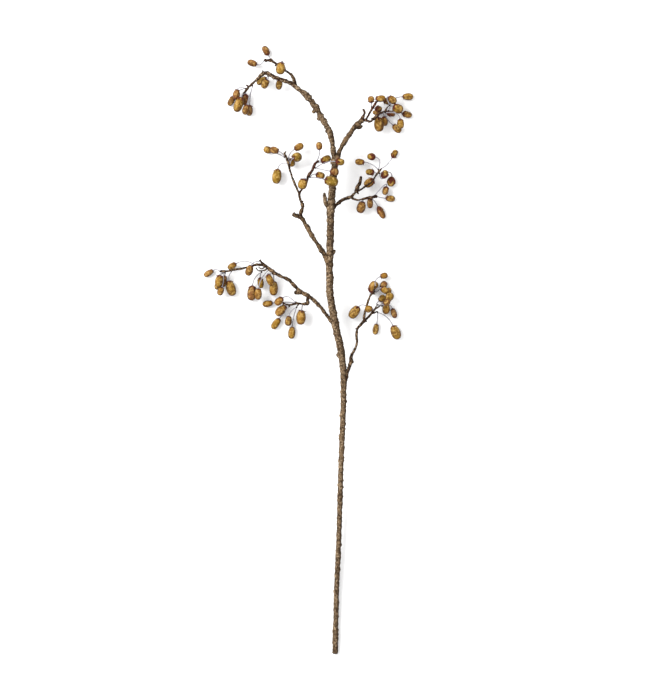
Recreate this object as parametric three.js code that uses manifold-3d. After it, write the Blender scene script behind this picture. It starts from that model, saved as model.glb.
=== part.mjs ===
// A cut sprig of rose hips, laid flat: a knobbly woody stem with six side branches, and 85 hips on
// thin wiry stalks. Millimetres, +Z up. The cut end points to -Y and the tips to +Y, and the sprig
// lies on the plane z = 0, on the cut end of its stem and on its lowest hips.

import * as THREE from "three";
import { mergeVertices } from "three/addons/utils/BufferGeometryUtils.js";
import Module from "manifold-3d";

// ---- driving dimensions ----
const clearance = 0.35;       // air left between two pieces that touch in the real sprig
const stalkRadius = 0.6;
const knobRadius = 1.4;       // small bud where two stalks leave the wood together
const stalkSides = 4;
const stalkSteps = 3;
const stalkReach = 0.5;       // how far a stalk keeps the line of its hip, as a share of its length
const calyxHeight = 3.2;
const calyxSpread = 0.32;     // radius of the calyx, as a share of the width of its hip
const calyxSides = 4;
const hipSides = 7;
const hipRings = 4;

// Sides of a rod, and the length of one of its steps.
const trunkMesh = { sides: 8, step: 36 };
const limbMesh = { sides: 5, step: 14 };
const twigMesh = { sides: 4, step: 10 };
const spurMesh = { sides: 4, step: 9 };

const woodColours = {
  main_stem: 0x7d6a55,
  branch: 0x5f4a38,
};
const hipColour = 0xb98f3e;

// ---- wood: each rod is a list of stations [x, y, z, radius] from its root to its tip ----
const wood = {
  main_stem: {
    trunk: [
      [44, -503, 4.5, 4.5], [45, -446, 6.3, 4.1], [47, -380, 8.8, 4.1], [50, -314, 11.8, 4.1],
      [52, -248, 15, 4.2], [54, -182, 18, 4.3], [56.5, -116, 21, 4.6], [58, -70, 23, 4.8],
      [57, -30, 25, 5.2], [53.5, 0, 27, 5.8], [47, 30, 28.5, 6.1], [41, 60, 29.5, 5.9],
      [36, 90, 30.5, 5.7], [35, 125, 32, 5.5], [35.3, 165, 34, 5.6], [36.3, 200, 35.5, 6.1],
      [36.8, 225, 36.5, 6.3], [38.6, 255, 37.3, 5.8], [41, 285, 38.3, 5.8], [43.5, 304, 38.9, 5.6],
      [44, 313, 39, 4.5],
    ],
    arch: [
      [43.4, 306, 39, 5.0], [40.8, 332, 40, 4.2], [34.4, 360, 41.5, 4.4], [24.8, 377, 42, 4.6],
      [11.5, 400, 42, 4.7], [-2, 417.5, 41.5, 4.5], [-14, 428, 40.5, 3.0], [-31, 440, 39, 3.0],
      [-53, 448, 36.5, 2.7], [-69, 456, 33.5, 3.0], [-75, 455, 32, 2.7], [-84, 447, 29, 2.0],
      [-96, 436.5, 26, 1.7], [-108, 423, 23, 1.9],
    ],
    short_stub: [[34, 232, 36.5, 3.0], [28.6, 241, 39, 2.8], [27.2, 250, 41, 2.6], [26, 259, 42, 2.1]],
    right_spur: [[38, 154, 33.5, 2], [42.5, 161, 33.5, 1.6], [43.5, 165.5, 33.5, 1.1]],
    left_burr: [[52, -6, 26.5, 4], [47.5, -12, 26, 1.8]],
    right_burr: [[36, 122, 32, 3.4], [41.5, 117, 32, 1.5]],
    lower_burr: [[55, -92, 22, 3.4], [61.5, -87, 22, 1.5]],
    arch_burr_1: [[33, 362, 41.5, 3.2], [28.2, 357.5, 41, 2.0]],
    arch_burr_2: [[20, 384, 42, 3.4], [14.8, 378, 41.5, 2.0]],
    arch_burr_3: [[12, 397, 42, 3.4], [7, 389.5, 42, 1.8]],
    knuckle_knob: [[-72, 456, 32.5, 1.8], [-76.5, 460.5, 33.5, 1.1]],
    tip_spur: [[-98, 434, 25.5, 1.4], [-103, 437.5, 26.5, 1.1]],
  },
  top_left_twig: {
    arch_twig: [
      [-20, 432, 40, 2.3], [-23.5, 445, 39, 2.2], [-28, 453, 37, 1.8], [-37, 459.5, 33, 1.6],
      [-46, 466, 30, 1.5], [-54, 472.5, 27, 1.7], [-62, 477.5, 24, 2.1], [-71, 478, 22, 2.1],
    ],
    arch_twig_spur: [[-52.5, 471.5, 27.5, 1.3], [-55.5, 468, 27.5, 0.9]],
  },
  top_right_branch: {
    top_right_limb: [
      [45.5, 310, 39.3, 4.0], [50.5, 325, 40, 3.5], [57, 338.5, 40, 3.3], [65, 351, 39, 3.4],
      [73.5, 363.5, 38, 4.0], [82, 372.5, 37, 5.0], [90, 379, 36, 3.0],
    ],
    top_right_stub: [[87, 378, 36.5, 2.6], [90.5, 385, 38, 2.3], [92.5, 391, 39, 2.0], [89.5, 397, 40, 1.2]],
    top_right_bud: [[79, 370, 36.5, 3.2], [83.5, 366.5, 35.5, 2.9], [89.5, 369.5, 35, 1.7]],
    top_right_upper_twig: [
      [89, 378.5, 36, 2], [94.5, 380, 35.5, 1.6], [99, 387, 34, 1.4], [103.5, 395.5, 33, 1.6],
      [108, 402.5, 31.5, 1.7], [112, 409.5, 30, 1.4],
    ],
    top_right_upper_spur: [[105.5, 398, 32.5, 1.3], [103.3, 402, 33, 1]],
    top_right_lower_twig: [
      [89, 378.5, 36, 2], [97, 377.5, 35, 1.7], [101.5, 376, 34, 1.5], [108, 381.5, 32.5, 1.8],
      [115, 388, 31, 1.6], [122, 392.5, 29.5, 1.3], [130, 394.5, 28, 1.2],
    ],
    top_right_nub: [[105, 379, 33, 1.4], [104.5, 383, 33.5, 0.9]],
    top_right_hook: [[126.5, 393.7, 28.7, 1.1], [129, 399, 28.5, 1], [132.5, 402.5, 28.5, 0.8]],
  },
  mid_left_branch: {
    mid_left_limb: [
      [35, 143, 33, 4.2], [26, 158, 33.5, 3.7], [16, 173, 34, 3.4], [8, 184.5, 34.5, 3.3],
      [-3, 204, 35.5, 3.3], [-12, 217.5, 36, 3.4], [-27, 224, 36.5, 4.0],
    ],
    mid_left_spur: [[18, 169, 34, 2.2], [22.5, 171, 34, 1.5]],
    mid_left_riser: [
      [-13, 217, 36, 2.8], [-12.7, 226, 36.5, 2.6], [-9.5, 235, 37, 2.6], [-11.5, 243, 37.3, 2.3],
      [-14.5, 251, 37.6, 2.0], [-15.4, 260, 38, 1.8],
    ],
    mid_left_nub: [[-12, 244, 37.3, 1.3], [-8, 245.5, 37.5, 0.9]],
    mid_left_outer_twig: [
      [-15.4, 258, 38, 1.5], [-22, 272.5, 36, 1.7], [-27, 285, 33.5, 1.6], [-31.5, 300, 31, 1.6],
      [-34.5, 312, 28.5, 1.5], [-37.5, 320, 26.5, 1.6], [-39.5, 324, 26, 1.1], [-37, 328, 26, 0.8],
    ],
    mid_left_inner_twig: [
      [-15.4, 258, 38, 1.7], [-9, 267, 39, 1.5], [-2.6, 278, 40, 2.1], [-0.5, 286, 41.5, 2.2],
      [5.5, 294, 43, 1.7], [9, 302, 44.5, 2.2], [12, 307.5, 45.5, 1.6], [17, 311, 46, 1.5],
    ],
  },
  mid_right_branch: {
    mid_right_limb: [
      [38, 231, 36.8, 3.2], [44, 237, 37, 2.8], [52, 244.5, 36, 2.4], [60, 249, 35, 2.2],
      [70, 252.5, 33.5, 2.1], [74.8, 257, 33, 2.0], [79, 262, 33, 2.0],
    ],
    mid_right_stub: [[78, 260.5, 33, 2.6], [81, 269, 34, 2.9], [85, 277, 35, 2.6], [86.5, 286.5, 36, 2.0]],
    mid_right_nub: [[79.5, 262, 33, 1.4], [82.5, 257, 32.5, 0.9]],
    mid_right_upper_twig: [
      [78, 260.5, 33, 1.6], [88, 265.5, 31.5, 1.3], [96, 271.5, 30, 1.3], [104, 277, 29, 1.2],
      [109, 284.5, 28, 1.3], [114.5, 292, 27, 1.3], [119.5, 298.5, 26, 1.1],
    ],
    mid_right_lower_twig: [
      [69, 252.3, 33.5, 1.5], [76.5, 248.3, 32, 1.4], [83, 247.2, 30.5, 1.3], [91, 249.3, 29, 1.4],
      [99, 251, 28, 2.2], [105, 252, 27, 2.3], [111.8, 253.6, 26, 2.0],
    ],
  },
  lower_left_branch: {
    lower_left_limb: [
      [47, 36, 28.8, 3.6], [38, 47, 29.3, 2.8], [28, 60, 29.5, 2.5], [18, 73, 29.5, 2.6],
      [6, 84.5, 29.3, 2.9], [-3, 90.5, 29, 2.9], [-14, 97, 28.3, 2.9], [-23, 106, 27.7, 2.6],
      [-32, 115, 27, 2.4], [-41, 119.5, 26.3, 2.3], [-52, 125, 25.5, 2.4], [-68, 136.5, 24, 2.5],
      [-75, 142.5, 24.5, 1.9], [-81, 149, 26, 1.4],
    ],
    lower_left_blunt_stub: [[-11, 95.5, 28.5, 3.1], [-24, 94.5, 28, 3.2]],
    lower_left_nub: [[-52, 126.5, 25.5, 1.8], [-58.5, 124.5, 25, 1.2]],
    lower_left_outer_twig: [
      [-70, 138.5, 24, 1.9], [-83, 141, 23, 1.8], [-95, 138.5, 21.5, 1.5], [-104, 136, 20.5, 1.5],
      [-111, 134.3, 19.5, 1.8], [-122, 132.8, 18, 1.4], [-133, 130.5, 17, 1.4], [-144, 130, 16, 1.9],
    ],
    lower_left_zigzag: [
      [-67, 135.5, 24, 1.2], [-73, 131.5, 23.5, 1], [-83, 131.5, 23, 0.9], [-87, 136, 23, 0.8],
    ],
    lower_left_cross_spur: [[-71, 138, 24.5, 1.1], [-77, 134, 26.5, 0.9], [-83, 137, 28, 0.8]],
    lower_left_inner_twig: [
      [0, 89, 29, 2.4], [-1.5, 82, 28, 2.5], [-1.5, 77.5, 27, 2.5], [-9, 76.3, 26.5, 1.5],
      [-17, 76.5, 26, 1.5], [-25, 75.8, 25.5, 1.3], [-30, 74.2, 25, 1.3], [-36, 75.3, 24.5, 1.2],
      [-42, 77.5, 24, 1.2],
    ],
    lower_left_upper_spur: [[-16, 76.5, 26, 1.1], [-22, 80, 27, 0.8]],
    lower_left_lower_spur: [[-15, 76.5, 26, 1.1], [-19, 72.5, 25.5, 0.9]],
  },
  lower_right_branch: {
    lower_right_limb: [
      [58, -64, 23.3, 3.0], [62.5, -45, 24, 2.7], [65, -34, 24.5, 2.4], [70, -20, 25, 2.7],
      [70.5, -10, 25.5, 2.4], [76, 0, 26, 1.9], [80, 11, 26, 1.8], [79.5, 24, 26, 1.8],
      [81, 35, 26, 1.8], [87, 42.5, 25.5, 2.2], [93, 49, 25, 2.1],
    ],
    lower_right_nub: [[70.5, -18, 25, 2.2], [74.5, -21, 25, 1.1]],
    lower_right_thorn: [[81, 33, 26, 1.2], [77.5, 36, 26, 0.8]],
    lower_right_left_twig: [
      [92, 47, 25, 1.8], [92, 56, 25.5, 1.8], [94, 66, 26.5, 1.5], [97, 77, 27, 1.4],
      [101.5, 88, 27.5, 1.3], [107, 95.5, 28, 1.4], [109.5, 104, 28, 1.1],
    ],
    lower_right_left_nub: [[105.5, 93.5, 28, 1.2], [110.5, 92, 28, 0.8]],
    lower_right_right_twig: [
      [91.5, 47.5, 25, 1.8], [99, 54.8, 24.5, 1.6], [104.5, 61, 24, 1.7], [109.5, 67, 23, 1.4],
      [116, 71.5, 22, 1.3], [123, 76.5, 21, 1.3],
    ],
    lower_right_right_nub: [[93, 50, 25, 1.4], [96.5, 46.5, 24.8, 0.9]],
    lower_right_upper_spur: [[107.5, 65, 23.3, 1.1], [112.5, 73.5, 25, 0.7]],
    lower_right_lower_spur: [[103.5, 60.3, 24, 1.2], [108, 61, 24, 1], [113, 64, 24.3, 0.8]],
  },
};

// ---- hips: [node, rod it grows from, place along that rod, hips] ----
// A hip is [x, y, z of its middle, length, width, heading, pitch]. The heading turns from +X towards
// +Y and runs from the stalk to the free end. The pitch is above the level.
const hips = [
  ["top_left_hip_1", "arch_twig", 0.79, [[-70.7, 495.6, 5.4, 17, 10.7, 118, 0]]],
  ["top_left_hip_2", "arch_twig", 1, [[-93.3, 474.5, 11, 16.4, 11, 162, -8]]],
  ["top_left_hip_3", "arch_twig", 0.43, [[-45.8, 463.4, 42, 20.5, 15, 263, -6]]],
  ["top_left_hips_4_5", "arch", 0.775, [
    [-77.5, 445.2, 10, 19, 10, 215, -10], [-71.6, 439.3, 22, 16.5, 11.5, 240, -14]]],
  ["top_left_hip_6", "arch", 0.7, [[-48.4, 438.5, 20, 18, 11, 262, -25]]],
  ["top_left_hips_7_8", "arch", 0.965, [
    [-119.2, 422, 17, 17.5, 11.5, 258, -12], [-128, 412.3, 4.8, 17.8, 9.5, 240, 0]]],
  ["top_left_hips_9_10", "arch", 1, [
    [-115.4, 405.2, 21, 26, 14.5, 250, -6], [-104.9, 414.5, 6, 19, 12, 265, 0]]],
  ["top_left_hips_11_12", "arch", 0.92, [
    [-103.5, 397, 19, 17, 11.5, 255, -18], [-98, 396.5, 6.5, 18, 10.5, 268, -4]]],

  ["top_right_hips_1_9", "top_right_upper_twig", 0.5, [
    [103.2, 413.5, 24, 11.5, 10.5, 95, 0], [115.3, 397.9, 20, 12, 10.5, 350, -20]]],
  ["top_right_hips_2_3", "top_right_upper_twig", 1, [
    [118.9, 414.9, 24, 17, 11, 5, -8], [129.6, 411.3, 8, 13, 9.5, 330, -10]]],
  ["top_right_hips_4_5", "top_right_hook", 1, [
    [138.1, 413.1, 20, 16, 12.5, 325, -8], [164.5, 419.4, 5.6, 17.8, 11.2, 0, 0]]],
  ["top_right_hips_6_7", "top_right_lower_twig", 1, [
    [147.5, 398.8, 19, 18, 15, 335, -10], [163.2, 389.8, 5.3, 16.5, 10.5, 345, 0]]],
  ["top_right_hips_8_14", "top_right_lower_twig", 0.82, [
    [135.9, 391.2, 8, 15.5, 9, 345, -10], [112.5, 392.8, 8, 13, 8, 175, -10]]],
  ["top_right_hips_10_11", "top_right_lower_twig", 0.62, [
    [116.2, 372.8, 17, 24.5, 15.5, 277, -12], [126, 379.1, 6.6, 17.5, 10.5, 275, -30]]],
  ["top_right_hips_12_13", "top_right_lower_twig", 0.92, [
    [152, 373.7, 18, 16.5, 11.5, 275, -15], [146.2, 366.6, 5.8, 17, 11.5, 320, 0]]],

  ["mid_left_hips_1_2", "mid_left_outer_twig", 0.87, [
    [-67.7, 331.4, 5.8, 14, 11.5, 160, 0], [-56.6, 330.1, 17, 15, 11.5, 165, -10]]],
  ["mid_left_hip_3", "mid_left_outer_twig", 0.82, [[-15.9, 335.4, 20, 16.5, 11.5, 30, -6]]],
  ["mid_left_hips_4_5", "mid_left_outer_twig", 0.68, [
    [-19.4, 318, 26, 17, 15.5, 20, -45], [-28.4, 310, 11, 14, 11.5, 295, -20]]],
  ["mid_left_hip_6", "mid_left_outer_twig", 0.72, [[-52.5, 287.1, 12, 25, 15, 262, -5]]],
  ["mid_left_hips_7_8", "mid_left_inner_twig", 0.9, [
    [17.7, 336.3, 34, 13.5, 10.3, 95, -10], [28.4, 314, 34, 18.5, 12, 28, -15]]],
  ["mid_left_hip_9", "mid_left_inner_twig", 0.4, [[-9.6, 272.8, 49.5, 18, 15, 255, -10]]],
  ["mid_left_hips_10_11", "mid_left_inner_twig", 0.5, [
    [19.5, 287.6, 34, 15.2, 11.8, 345, -12], [37.8, 277, 53.5, 23, 16.5, 345, 0]]],
  ["mid_left_hips_12_13", "mid_left_inner_twig", 0.78, [
    [42.8, 292.5, 52, 14.5, 13, 350, -8], [51.8, 309, 52, 15, 11.2, 355, -6]]],

  ["mid_right_hip_1", "mid_right_upper_twig", 1, [[142.2, 324.8, 4.8, 15, 9.5, 60, 0]]],
  ["mid_right_hips_2_3", "mid_right_upper_twig", 0.94, [
    [103.9, 319.7, 12, 14, 11, 172, -15], [84.6, 311, 14, 15.5, 10.5, 175, -8]]],
  ["mid_right_hip_4", "mid_right_upper_twig", 0.8, [[101.6, 294, 15, 14.5, 10.5, 175, -15]]],
  ["mid_right_hips_5_6", "mid_right_upper_twig", 0.88, [
    [125.6, 290.1, 20, 15, 11, 62, 5], [136.7, 278.6, 8, 16.5, 12.5, 262, -10]]],
  ["mid_right_hip_7", "mid_right_upper_twig", 0.69, [[100.4, 276.6, 13, 19, 13.5, 215, -12]]],
  ["mid_right_hip_8", "mid_right_lower_twig", 0.94, [[127.2, 263.6, 10, 14.5, 10, 255, -12]]],
  ["mid_right_hip_9", "mid_right_lower_twig", 1, [[135.5, 250.6, 5.1, 15.5, 10.2, 355, 0]]],
  ["mid_right_hip_10", "mid_right_lower_twig", 0.49, [[87, 236, 15, 20, 14.5, 255, -15]]],
  ["mid_right_hips_11_12", "mid_right_lower_twig", 0.84, [
    [101.6, 242.7, 14, 17.5, 10, 270, -20], [120.1, 227.7, 5.3, 22.5, 10.5, 298, 0]]],

  ["lower_left_hip_1", "lower_left_outer_twig", 1, [[-165.6, 127.2, 4.8, 17.5, 9.5, 212, 0]]],
  ["lower_left_hip_2", "lower_left_outer_twig", 0.265, [[-126.6, 138.8, 9, 16, 10, 212, -8]]],
  ["lower_left_hips_3_4", "lower_left_outer_twig", 0.92, [
    [-148.1, 113.8, 17.2, 21, 12.5, 262, -8], [-140.5, 113.8, 5.5, 19, 10, 260, 0]]],
  ["lower_left_hips_5_6", "lower_left_outer_twig", 0.97, [
    [-151.2, 106.6, 4.5, 14, 9, 265, 0], [-145.4, 97.2, 14.5, 15, 10.5, 250, -12]]],
  ["lower_left_hip_7", "lower_left_outer_twig", 0.78, [[-128.4, 102.1, 7.8, 26, 15.5, 285, 0]]],
  ["lower_left_hip_8", "lower_left_limb", 0.99, [[-97.6, 131.2, 28, 18, 12, 250, -10]]],
  ["lower_left_hips_9_10", "lower_left_zigzag", 0.5, [
    [-94, 94.1, 7.5, 25, 14.5, 265, 0], [-79.2, 111.1, 10, 18.5, 10, 275, -10]]],
  ["lower_left_hip_11", "lower_left_limb", 0.87, [[-83.3, 92.3, 18, 19, 12, 265, -8]]],
  ["lower_left_hips_12_13", "lower_left_limb", 0.82, [
    [-63.6, 115.6, 20.5, 20.5, 11.5, 292, -8], [-57.8, 102.1, 7, 24, 14, 268, 0]]],
  ["lower_left_hips_14_15", "lower_left_inner_twig", 0.6, [
    [-68, 76.6, 5.3, 16.8, 10.5, 188, 0], [-48.8, 80.7, 17, 16.5, 12, 222, -10]]],
  ["lower_left_hips_16_17", "lower_left_inner_twig", 0.79, [
    [-45.6, 65.4, 8, 22.5, 14, 222, -4], [-54.1, 43.5, 5.8, 21, 11.5, 235, 0]]],
  ["lower_left_hips_18_19", "lower_left_lower_spur", 1, [
    [-33.3, 48, 10, 16.5, 11.5, 262, -15], [-28, 28.3, 5.8, 20, 11.5, 265, 0]]],
  ["lower_left_hip_20", "lower_left_inner_twig", 0.38, [[-12.5, 53.8, 16, 24.5, 15.5, 265, -14]]],

  ["lower_right_hip_1", "lower_right_left_twig", 1, [[124.9, 122.9, 10, 12.5, 10.2, 15, -5]]],
  ["lower_right_hip_2", "lower_right_left_twig", 0.77, [[106.9, 104.1, 11, 21, 14.5, 65, -4]]],
  ["lower_right_hips_3_4", "lower_right_left_twig", 0.87, [
    [124.2, 108, 6, 13, 11, 50, -5], [125.7, 99, 17.5, 14, 11, 330, -10]]],
  ["lower_right_hips_5_6", "lower_right_right_twig", 1, [
    [132.3, 97, 5.5, 13, 9.5, 80, -5], [133.8, 87.9, 18.5, 15, 13.3, 60, 0]]],
  ["lower_right_hips_7_8", "lower_right_upper_spur", 1, [
    [121.6, 85.4, 5.5, 13, 10.5, 40, 0], [129, 78.7, 30, 12, 11, 30, 5]]],
  ["lower_right_hips_9_10", "lower_right_right_twig", 0.92, [
    [128.3, 68.1, 7.5, 18, 12.5, 268, -6], [141.2, 60.7, 4.8, 16.5, 9.5, 288, 0]]],
  ["lower_right_hips_11_12", "lower_right_right_twig", 0.5, [
    [99.1, 67.7, 33, 12.5, 11.5, 180, 0], [75.9, 62.5, 14, 23.5, 15.5, 232, -10]]],
  ["lower_right_hips_13_14", "lower_right_lower_spur", 1, [
    [111.3, 34.2, 4.9, 18, 9.8, 260, 0], [144, 29, 7.7, 24.4, 15.3, 292, 0]]],
];

const wasm = await Module();
wasm.setup();

// ---- solids ----
function solidOf(geometry) {
  const bare = geometry.clone();
  bare.deleteAttribute("normal");
  bare.deleteAttribute("uv");
  const merged = mergeVertices(bare, 1e-4);
  const vertProperties = new Float32Array(merged.attributes.position.array);
  const triVerts = new Uint32Array(merged.index.array);
  return new wasm.Manifold(new wasm.Mesh({ numProp: 3, vertProperties, triVerts }));
}

function geometryOf(solid) {
  const mesh = solid.getMesh();
  const geometry = new THREE.BufferGeometry();
  geometry.setAttribute("position", new THREE.BufferAttribute(new Float32Array(mesh.vertProperties), 3));
  geometry.setIndex(new THREE.BufferAttribute(new Uint32Array(mesh.triVerts), 1));
  geometry.computeVertexNormals();
  return geometry;
}

function joined(solids) {
  return solids.reduce((whole, solid) => whole.add(solid));
}

function largestPiece(solid) {
  return solid.decompose().reduce((a, b) => (a.volume() > b.volume() ? a : b));
}

// A closed cylinder bent along a curve: its rings move to the curve and take its radius there.
function bentRod(curve, radiusAt, sides, steps) {
  const geometry = new THREE.CylinderGeometry(1, 1, 1, sides, steps);
  const frames = curve.computeFrenetFrames(steps);
  const position = geometry.attributes.position;
  for (let i = 0; i < position.count; i += 1) {
    const step = Math.round((position.getY(i) + 0.5) * steps);
    const radius = radiusAt(step / steps);
    const point = curve.getPointAt(step / steps);
    point.addScaledVector(frames.binormals[step], position.getX(i) * radius);
    point.addScaledVector(frames.normals[step], position.getZ(i) * radius);
    position.setXYZ(i, point.x, point.y, point.z);
  }
  return solidOf(geometry);
}

// ---- wood ----
function rodCurve(stations) {
  const points = stations.map(([x, y, z]) => new THREE.Vector3(x, y, z));
  return new THREE.CatmullRomCurve3(points, false, "centripetal");
}

function rodRadius(stations, curve, along) {
  const place = curve.getUtoTmapping(along) * (stations.length - 1);
  const before = Math.min(Math.floor(place), stations.length - 2);
  return THREE.MathUtils.lerp(stations[before][3], stations[before + 1][3], place - before);
}

function rodMesh(name) {
  if (name === "trunk") return trunkMesh;
  if (name === "arch" || name.endsWith("_limb")) return limbMesh;
  if (name.endsWith("_twig") || name.endsWith("_riser")) return twigMesh;
  return spurMesh;
}

function woodRod(name, stations, growth) {
  const curve = rodCurve(stations);
  const { sides, step } = rodMesh(name);
  const steps = Math.max(1, Math.round(curve.getLength() / step));
  return bentRod(curve, (along) => rodRadius(stations, curve, along) + growth, sides, steps);
}

function woodSolid(node, growth) {
  return joined(Object.entries(wood[node]).map(([name, stations]) => woodRod(name, stations, growth)));
}

// ---- hips ----
function hipDirection(heading, pitch) {
  const turn = THREE.MathUtils.degToRad(heading);
  const rise = THREE.MathUtils.degToRad(pitch);
  return new THREE.Vector3(Math.cos(turn) * Math.cos(rise), Math.sin(turn) * Math.cos(rise), Math.sin(rise));
}

// A unit solid that stands along +Y is stretched to its size, laid along a direction and moved.
function placed(geometry, scale, direction, place) {
  const turn = new THREE.Quaternion().setFromUnitVectors(new THREE.Vector3(0, 1, 0), direction);
  return solidOf(geometry.applyMatrix4(new THREE.Matrix4().compose(place, turn, scale)));
}

function hipBody(middle, direction, length, width) {
  const scale = new THREE.Vector3(width / 2, length / 2, width / 2);
  return placed(new THREE.SphereGeometry(1, hipSides, hipRings), scale, direction, middle);
}

function calyx(stalkEnd, direction, width) {
  const cone = new THREE.CylinderGeometry(calyxSpread * width, stalkRadius * 1.4, calyxHeight, calyxSides);
  const middle = stalkEnd.clone().addScaledVector(direction, -0.1 * calyxHeight);
  return placed(cone, new THREE.Vector3(1, 1, 1), direction, middle);
}

// Where a stalk leaves the wood: just outside the rod, on the side that faces the aim.
function stalkRoot(rodName, along, aim, size) {
  const stations = Object.values(wood).find((rods) => rods[rodName])[rodName];
  const curve = rodCurve(stations);
  const axisPoint = curve.getPointAt(along);
  const tangent = curve.getTangentAt(along);
  const outward = aim.clone().sub(axisPoint);
  if (along < 1) outward.addScaledVector(tangent, -outward.dot(tangent));
  const reach = rodRadius(stations, curve, along) + clearance + size;
  return axisPoint.addScaledVector(outward.normalize(), reach);
}

function hipParts(root, [x, y, z, length, width, heading, pitch]) {
  const direction = hipDirection(heading, pitch);
  const middle = new THREE.Vector3(x, y, z);
  const stalkEnd = middle.clone().addScaledVector(direction, -length / 2);
  const bend = stalkEnd.clone().addScaledVector(direction, -stalkReach * stalkEnd.distanceTo(root));
  const inside = stalkEnd.clone().addScaledVector(direction, calyxHeight / 2);
  const curve = new THREE.QuadraticBezierCurve3(root, bend, inside);
  return [
    hipBody(middle, direction, length, width),
    calyx(stalkEnd, direction, width),
    bentRod(curve, () => stalkRadius, stalkSides, stalkSteps),
  ];
}

function hipSolid(rodName, along, members) {
  const knob = members.length > 1 ? knobRadius : stalkRadius;
  const aim = new THREE.Vector3();
  members.forEach(([x, y, z]) => aim.add(new THREE.Vector3(x, y, z)));
  const root = stalkRoot(rodName, along, aim.divideScalar(members.length), knob);
  const parts = members.flatMap((member) => hipParts(root, member));
  if (members.length > 1) {
    parts.push(placed(new THREE.OctahedronGeometry(knob, 0), new THREE.Vector3(1, 1, 1),
      new THREE.Vector3(0, 1, 0), root));
  }
  return joined(parts);
}

// ---- the sprig ----
function addPiece(name, solid, colour, roughness) {
  const material = new THREE.MeshStandardMaterial({ color: colour, roughness, metalness: 0 });
  const mesh = new THREE.Mesh(geometryOf(solid), material);
  mesh.name = name;
  sprig.add(mesh);
}

const sprig = new THREE.Group();
const stem = woodSolid("main_stem", 0);
const stemWithAir = woodSolid("main_stem", clearance);

addPiece("main_stem", stem, woodColours.main_stem, 0.9);
for (const branch of Object.keys(wood)) {
  if (branch === "main_stem") continue;
  addPiece(branch, largestPiece(woodSolid(branch, 0).subtract(stemWithAir)), woodColours.branch, 0.85);
}
for (const [node, rodName, along, members] of hips) {
  addPiece(node, hipSolid(rodName, along, members), hipColour, 0.45);
}

export default sprig;
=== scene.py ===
"""A cut sprig of rose hips, lying on a pale surface and seen from straight above.

The frame holds the plain solids. This script covers them with bark, fruit skins, calyxes and stalks.
Lengths are in millimetres up to Surface.piece, which puts them into Blender in metres.
"""
import math

import bpy
import numpy as np
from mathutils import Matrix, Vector


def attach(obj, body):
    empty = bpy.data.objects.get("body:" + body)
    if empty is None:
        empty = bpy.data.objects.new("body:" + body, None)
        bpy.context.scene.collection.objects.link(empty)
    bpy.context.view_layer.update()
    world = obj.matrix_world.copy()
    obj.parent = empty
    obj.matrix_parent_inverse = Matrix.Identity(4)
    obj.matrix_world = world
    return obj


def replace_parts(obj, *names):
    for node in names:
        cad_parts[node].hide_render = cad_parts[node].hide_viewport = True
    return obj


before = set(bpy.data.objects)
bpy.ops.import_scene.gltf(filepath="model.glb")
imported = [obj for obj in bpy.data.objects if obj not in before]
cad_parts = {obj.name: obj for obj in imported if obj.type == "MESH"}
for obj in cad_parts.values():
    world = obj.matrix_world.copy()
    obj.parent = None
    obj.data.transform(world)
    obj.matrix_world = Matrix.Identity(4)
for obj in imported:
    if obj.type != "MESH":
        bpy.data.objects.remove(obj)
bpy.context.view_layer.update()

MM = 0.001

# ---- finish sizes, in millimetres ----
RING_STEP = {"trunk": 1.3, "limb": 0.8, "twig": 0.6, "spur": 0.5}
RING_SIDES = {"trunk": 56, "limb": 34, "twig": 22, "spur": 18}
STALK_RADIUS = 0.78
STALK_SIDES = 8
STALK_RINGS = 22
STALK_REACH = 0.5             # how far a stalk keeps the line of its hip, as a share of its length
STALK_AIR = 0.35              # a stalk's solid starts this far outside the wood
KNOB_RADIUS = 1.4
HIP_RINGS = 34
HIP_SIDES = 36
CALYX_SIDES = 50
CALYX_RINGS = 8
SEPALS = 5
SEPAL_THICKNESS = 0.35
STUDIO_DIM = 0.86             # the studio light is bright, so every surface is this much darker
WOOD_SEED, HIP_SEED, SPRAY_SEED = 100, 300, 500

# grey old wood is 1 and brown young wood is 0: a rod that isn't named has YOUNG_AGE
YOUNG_AGE = 0.2
WOOD_AGE = {
    "trunk": 1.0, "top_right_limb": 0.9, "mid_left_limb": 0.65, "mid_left_spur": 0.7, "mid_left_riser": 0.3,
    "mid_right_limb": 0.05, "lower_left_limb": 0.5, "lower_left_blunt_stub": 0.5, "lower_right_limb": 0.2,
    "short_stub": 0.7, "left_burr": 0.9, "right_burr": 0.9, "lower_burr": 0.9, "arch_burr_1": 0.8,
    "arch_burr_2": 0.8, "arch_burr_3": 0.8,
}
# how red a twig is, from 0 to 1: a rod that isn't named isn't red
WOOD_BLUSH = {
    "top_right_upper_twig": 0.9, "top_right_upper_spur": 0.9, "top_right_hook": 0.8, "top_right_stub": 0.4,
    "mid_left_inner_twig": 0.7, "top_right_lower_twig": 0.3, "mid_right_lower_twig": 0.3, "tip_spur": 0.6,
}
# the bark's radius as a multiple of its solid's radius, by kind of rod
BARK_THICKNESS = {"trunk": 1.05, "limb": 1.12, "twig": 1.15, "spur": 1.1}
# how coarse bark is: the lengths of its strips, lumps and swells, the number of ridges round the rod, how
# far lumps and swells rise as a share of the radius, and the least and most length between leaf scars
TRUNK_BARK = {"strip": 13, "lump": 5, "swell": 9, "ridges": 12, "lump_rise": 0.09, "swell_rise": 0.03,
              "scar_gap": (6, 17)}
THIN_BARK = {"strip": 7, "lump": 3.4, "swell": 6, "ridges": 7, "lump_rise": 0.13, "swell_rise": 0.19,
             "scar_gap": (4, 8)}
# the sawn face from its middle out: the reach of each ring as a share of the edge, and how deep it lies
FACE_REACH = np.array([0.2, 0.45, 0.62, 0.7, 0.85, 0.97])
FACE_DISH = np.array([0.9, 0.9, 0.8, 0.25, 0.0, 0.0])
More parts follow.
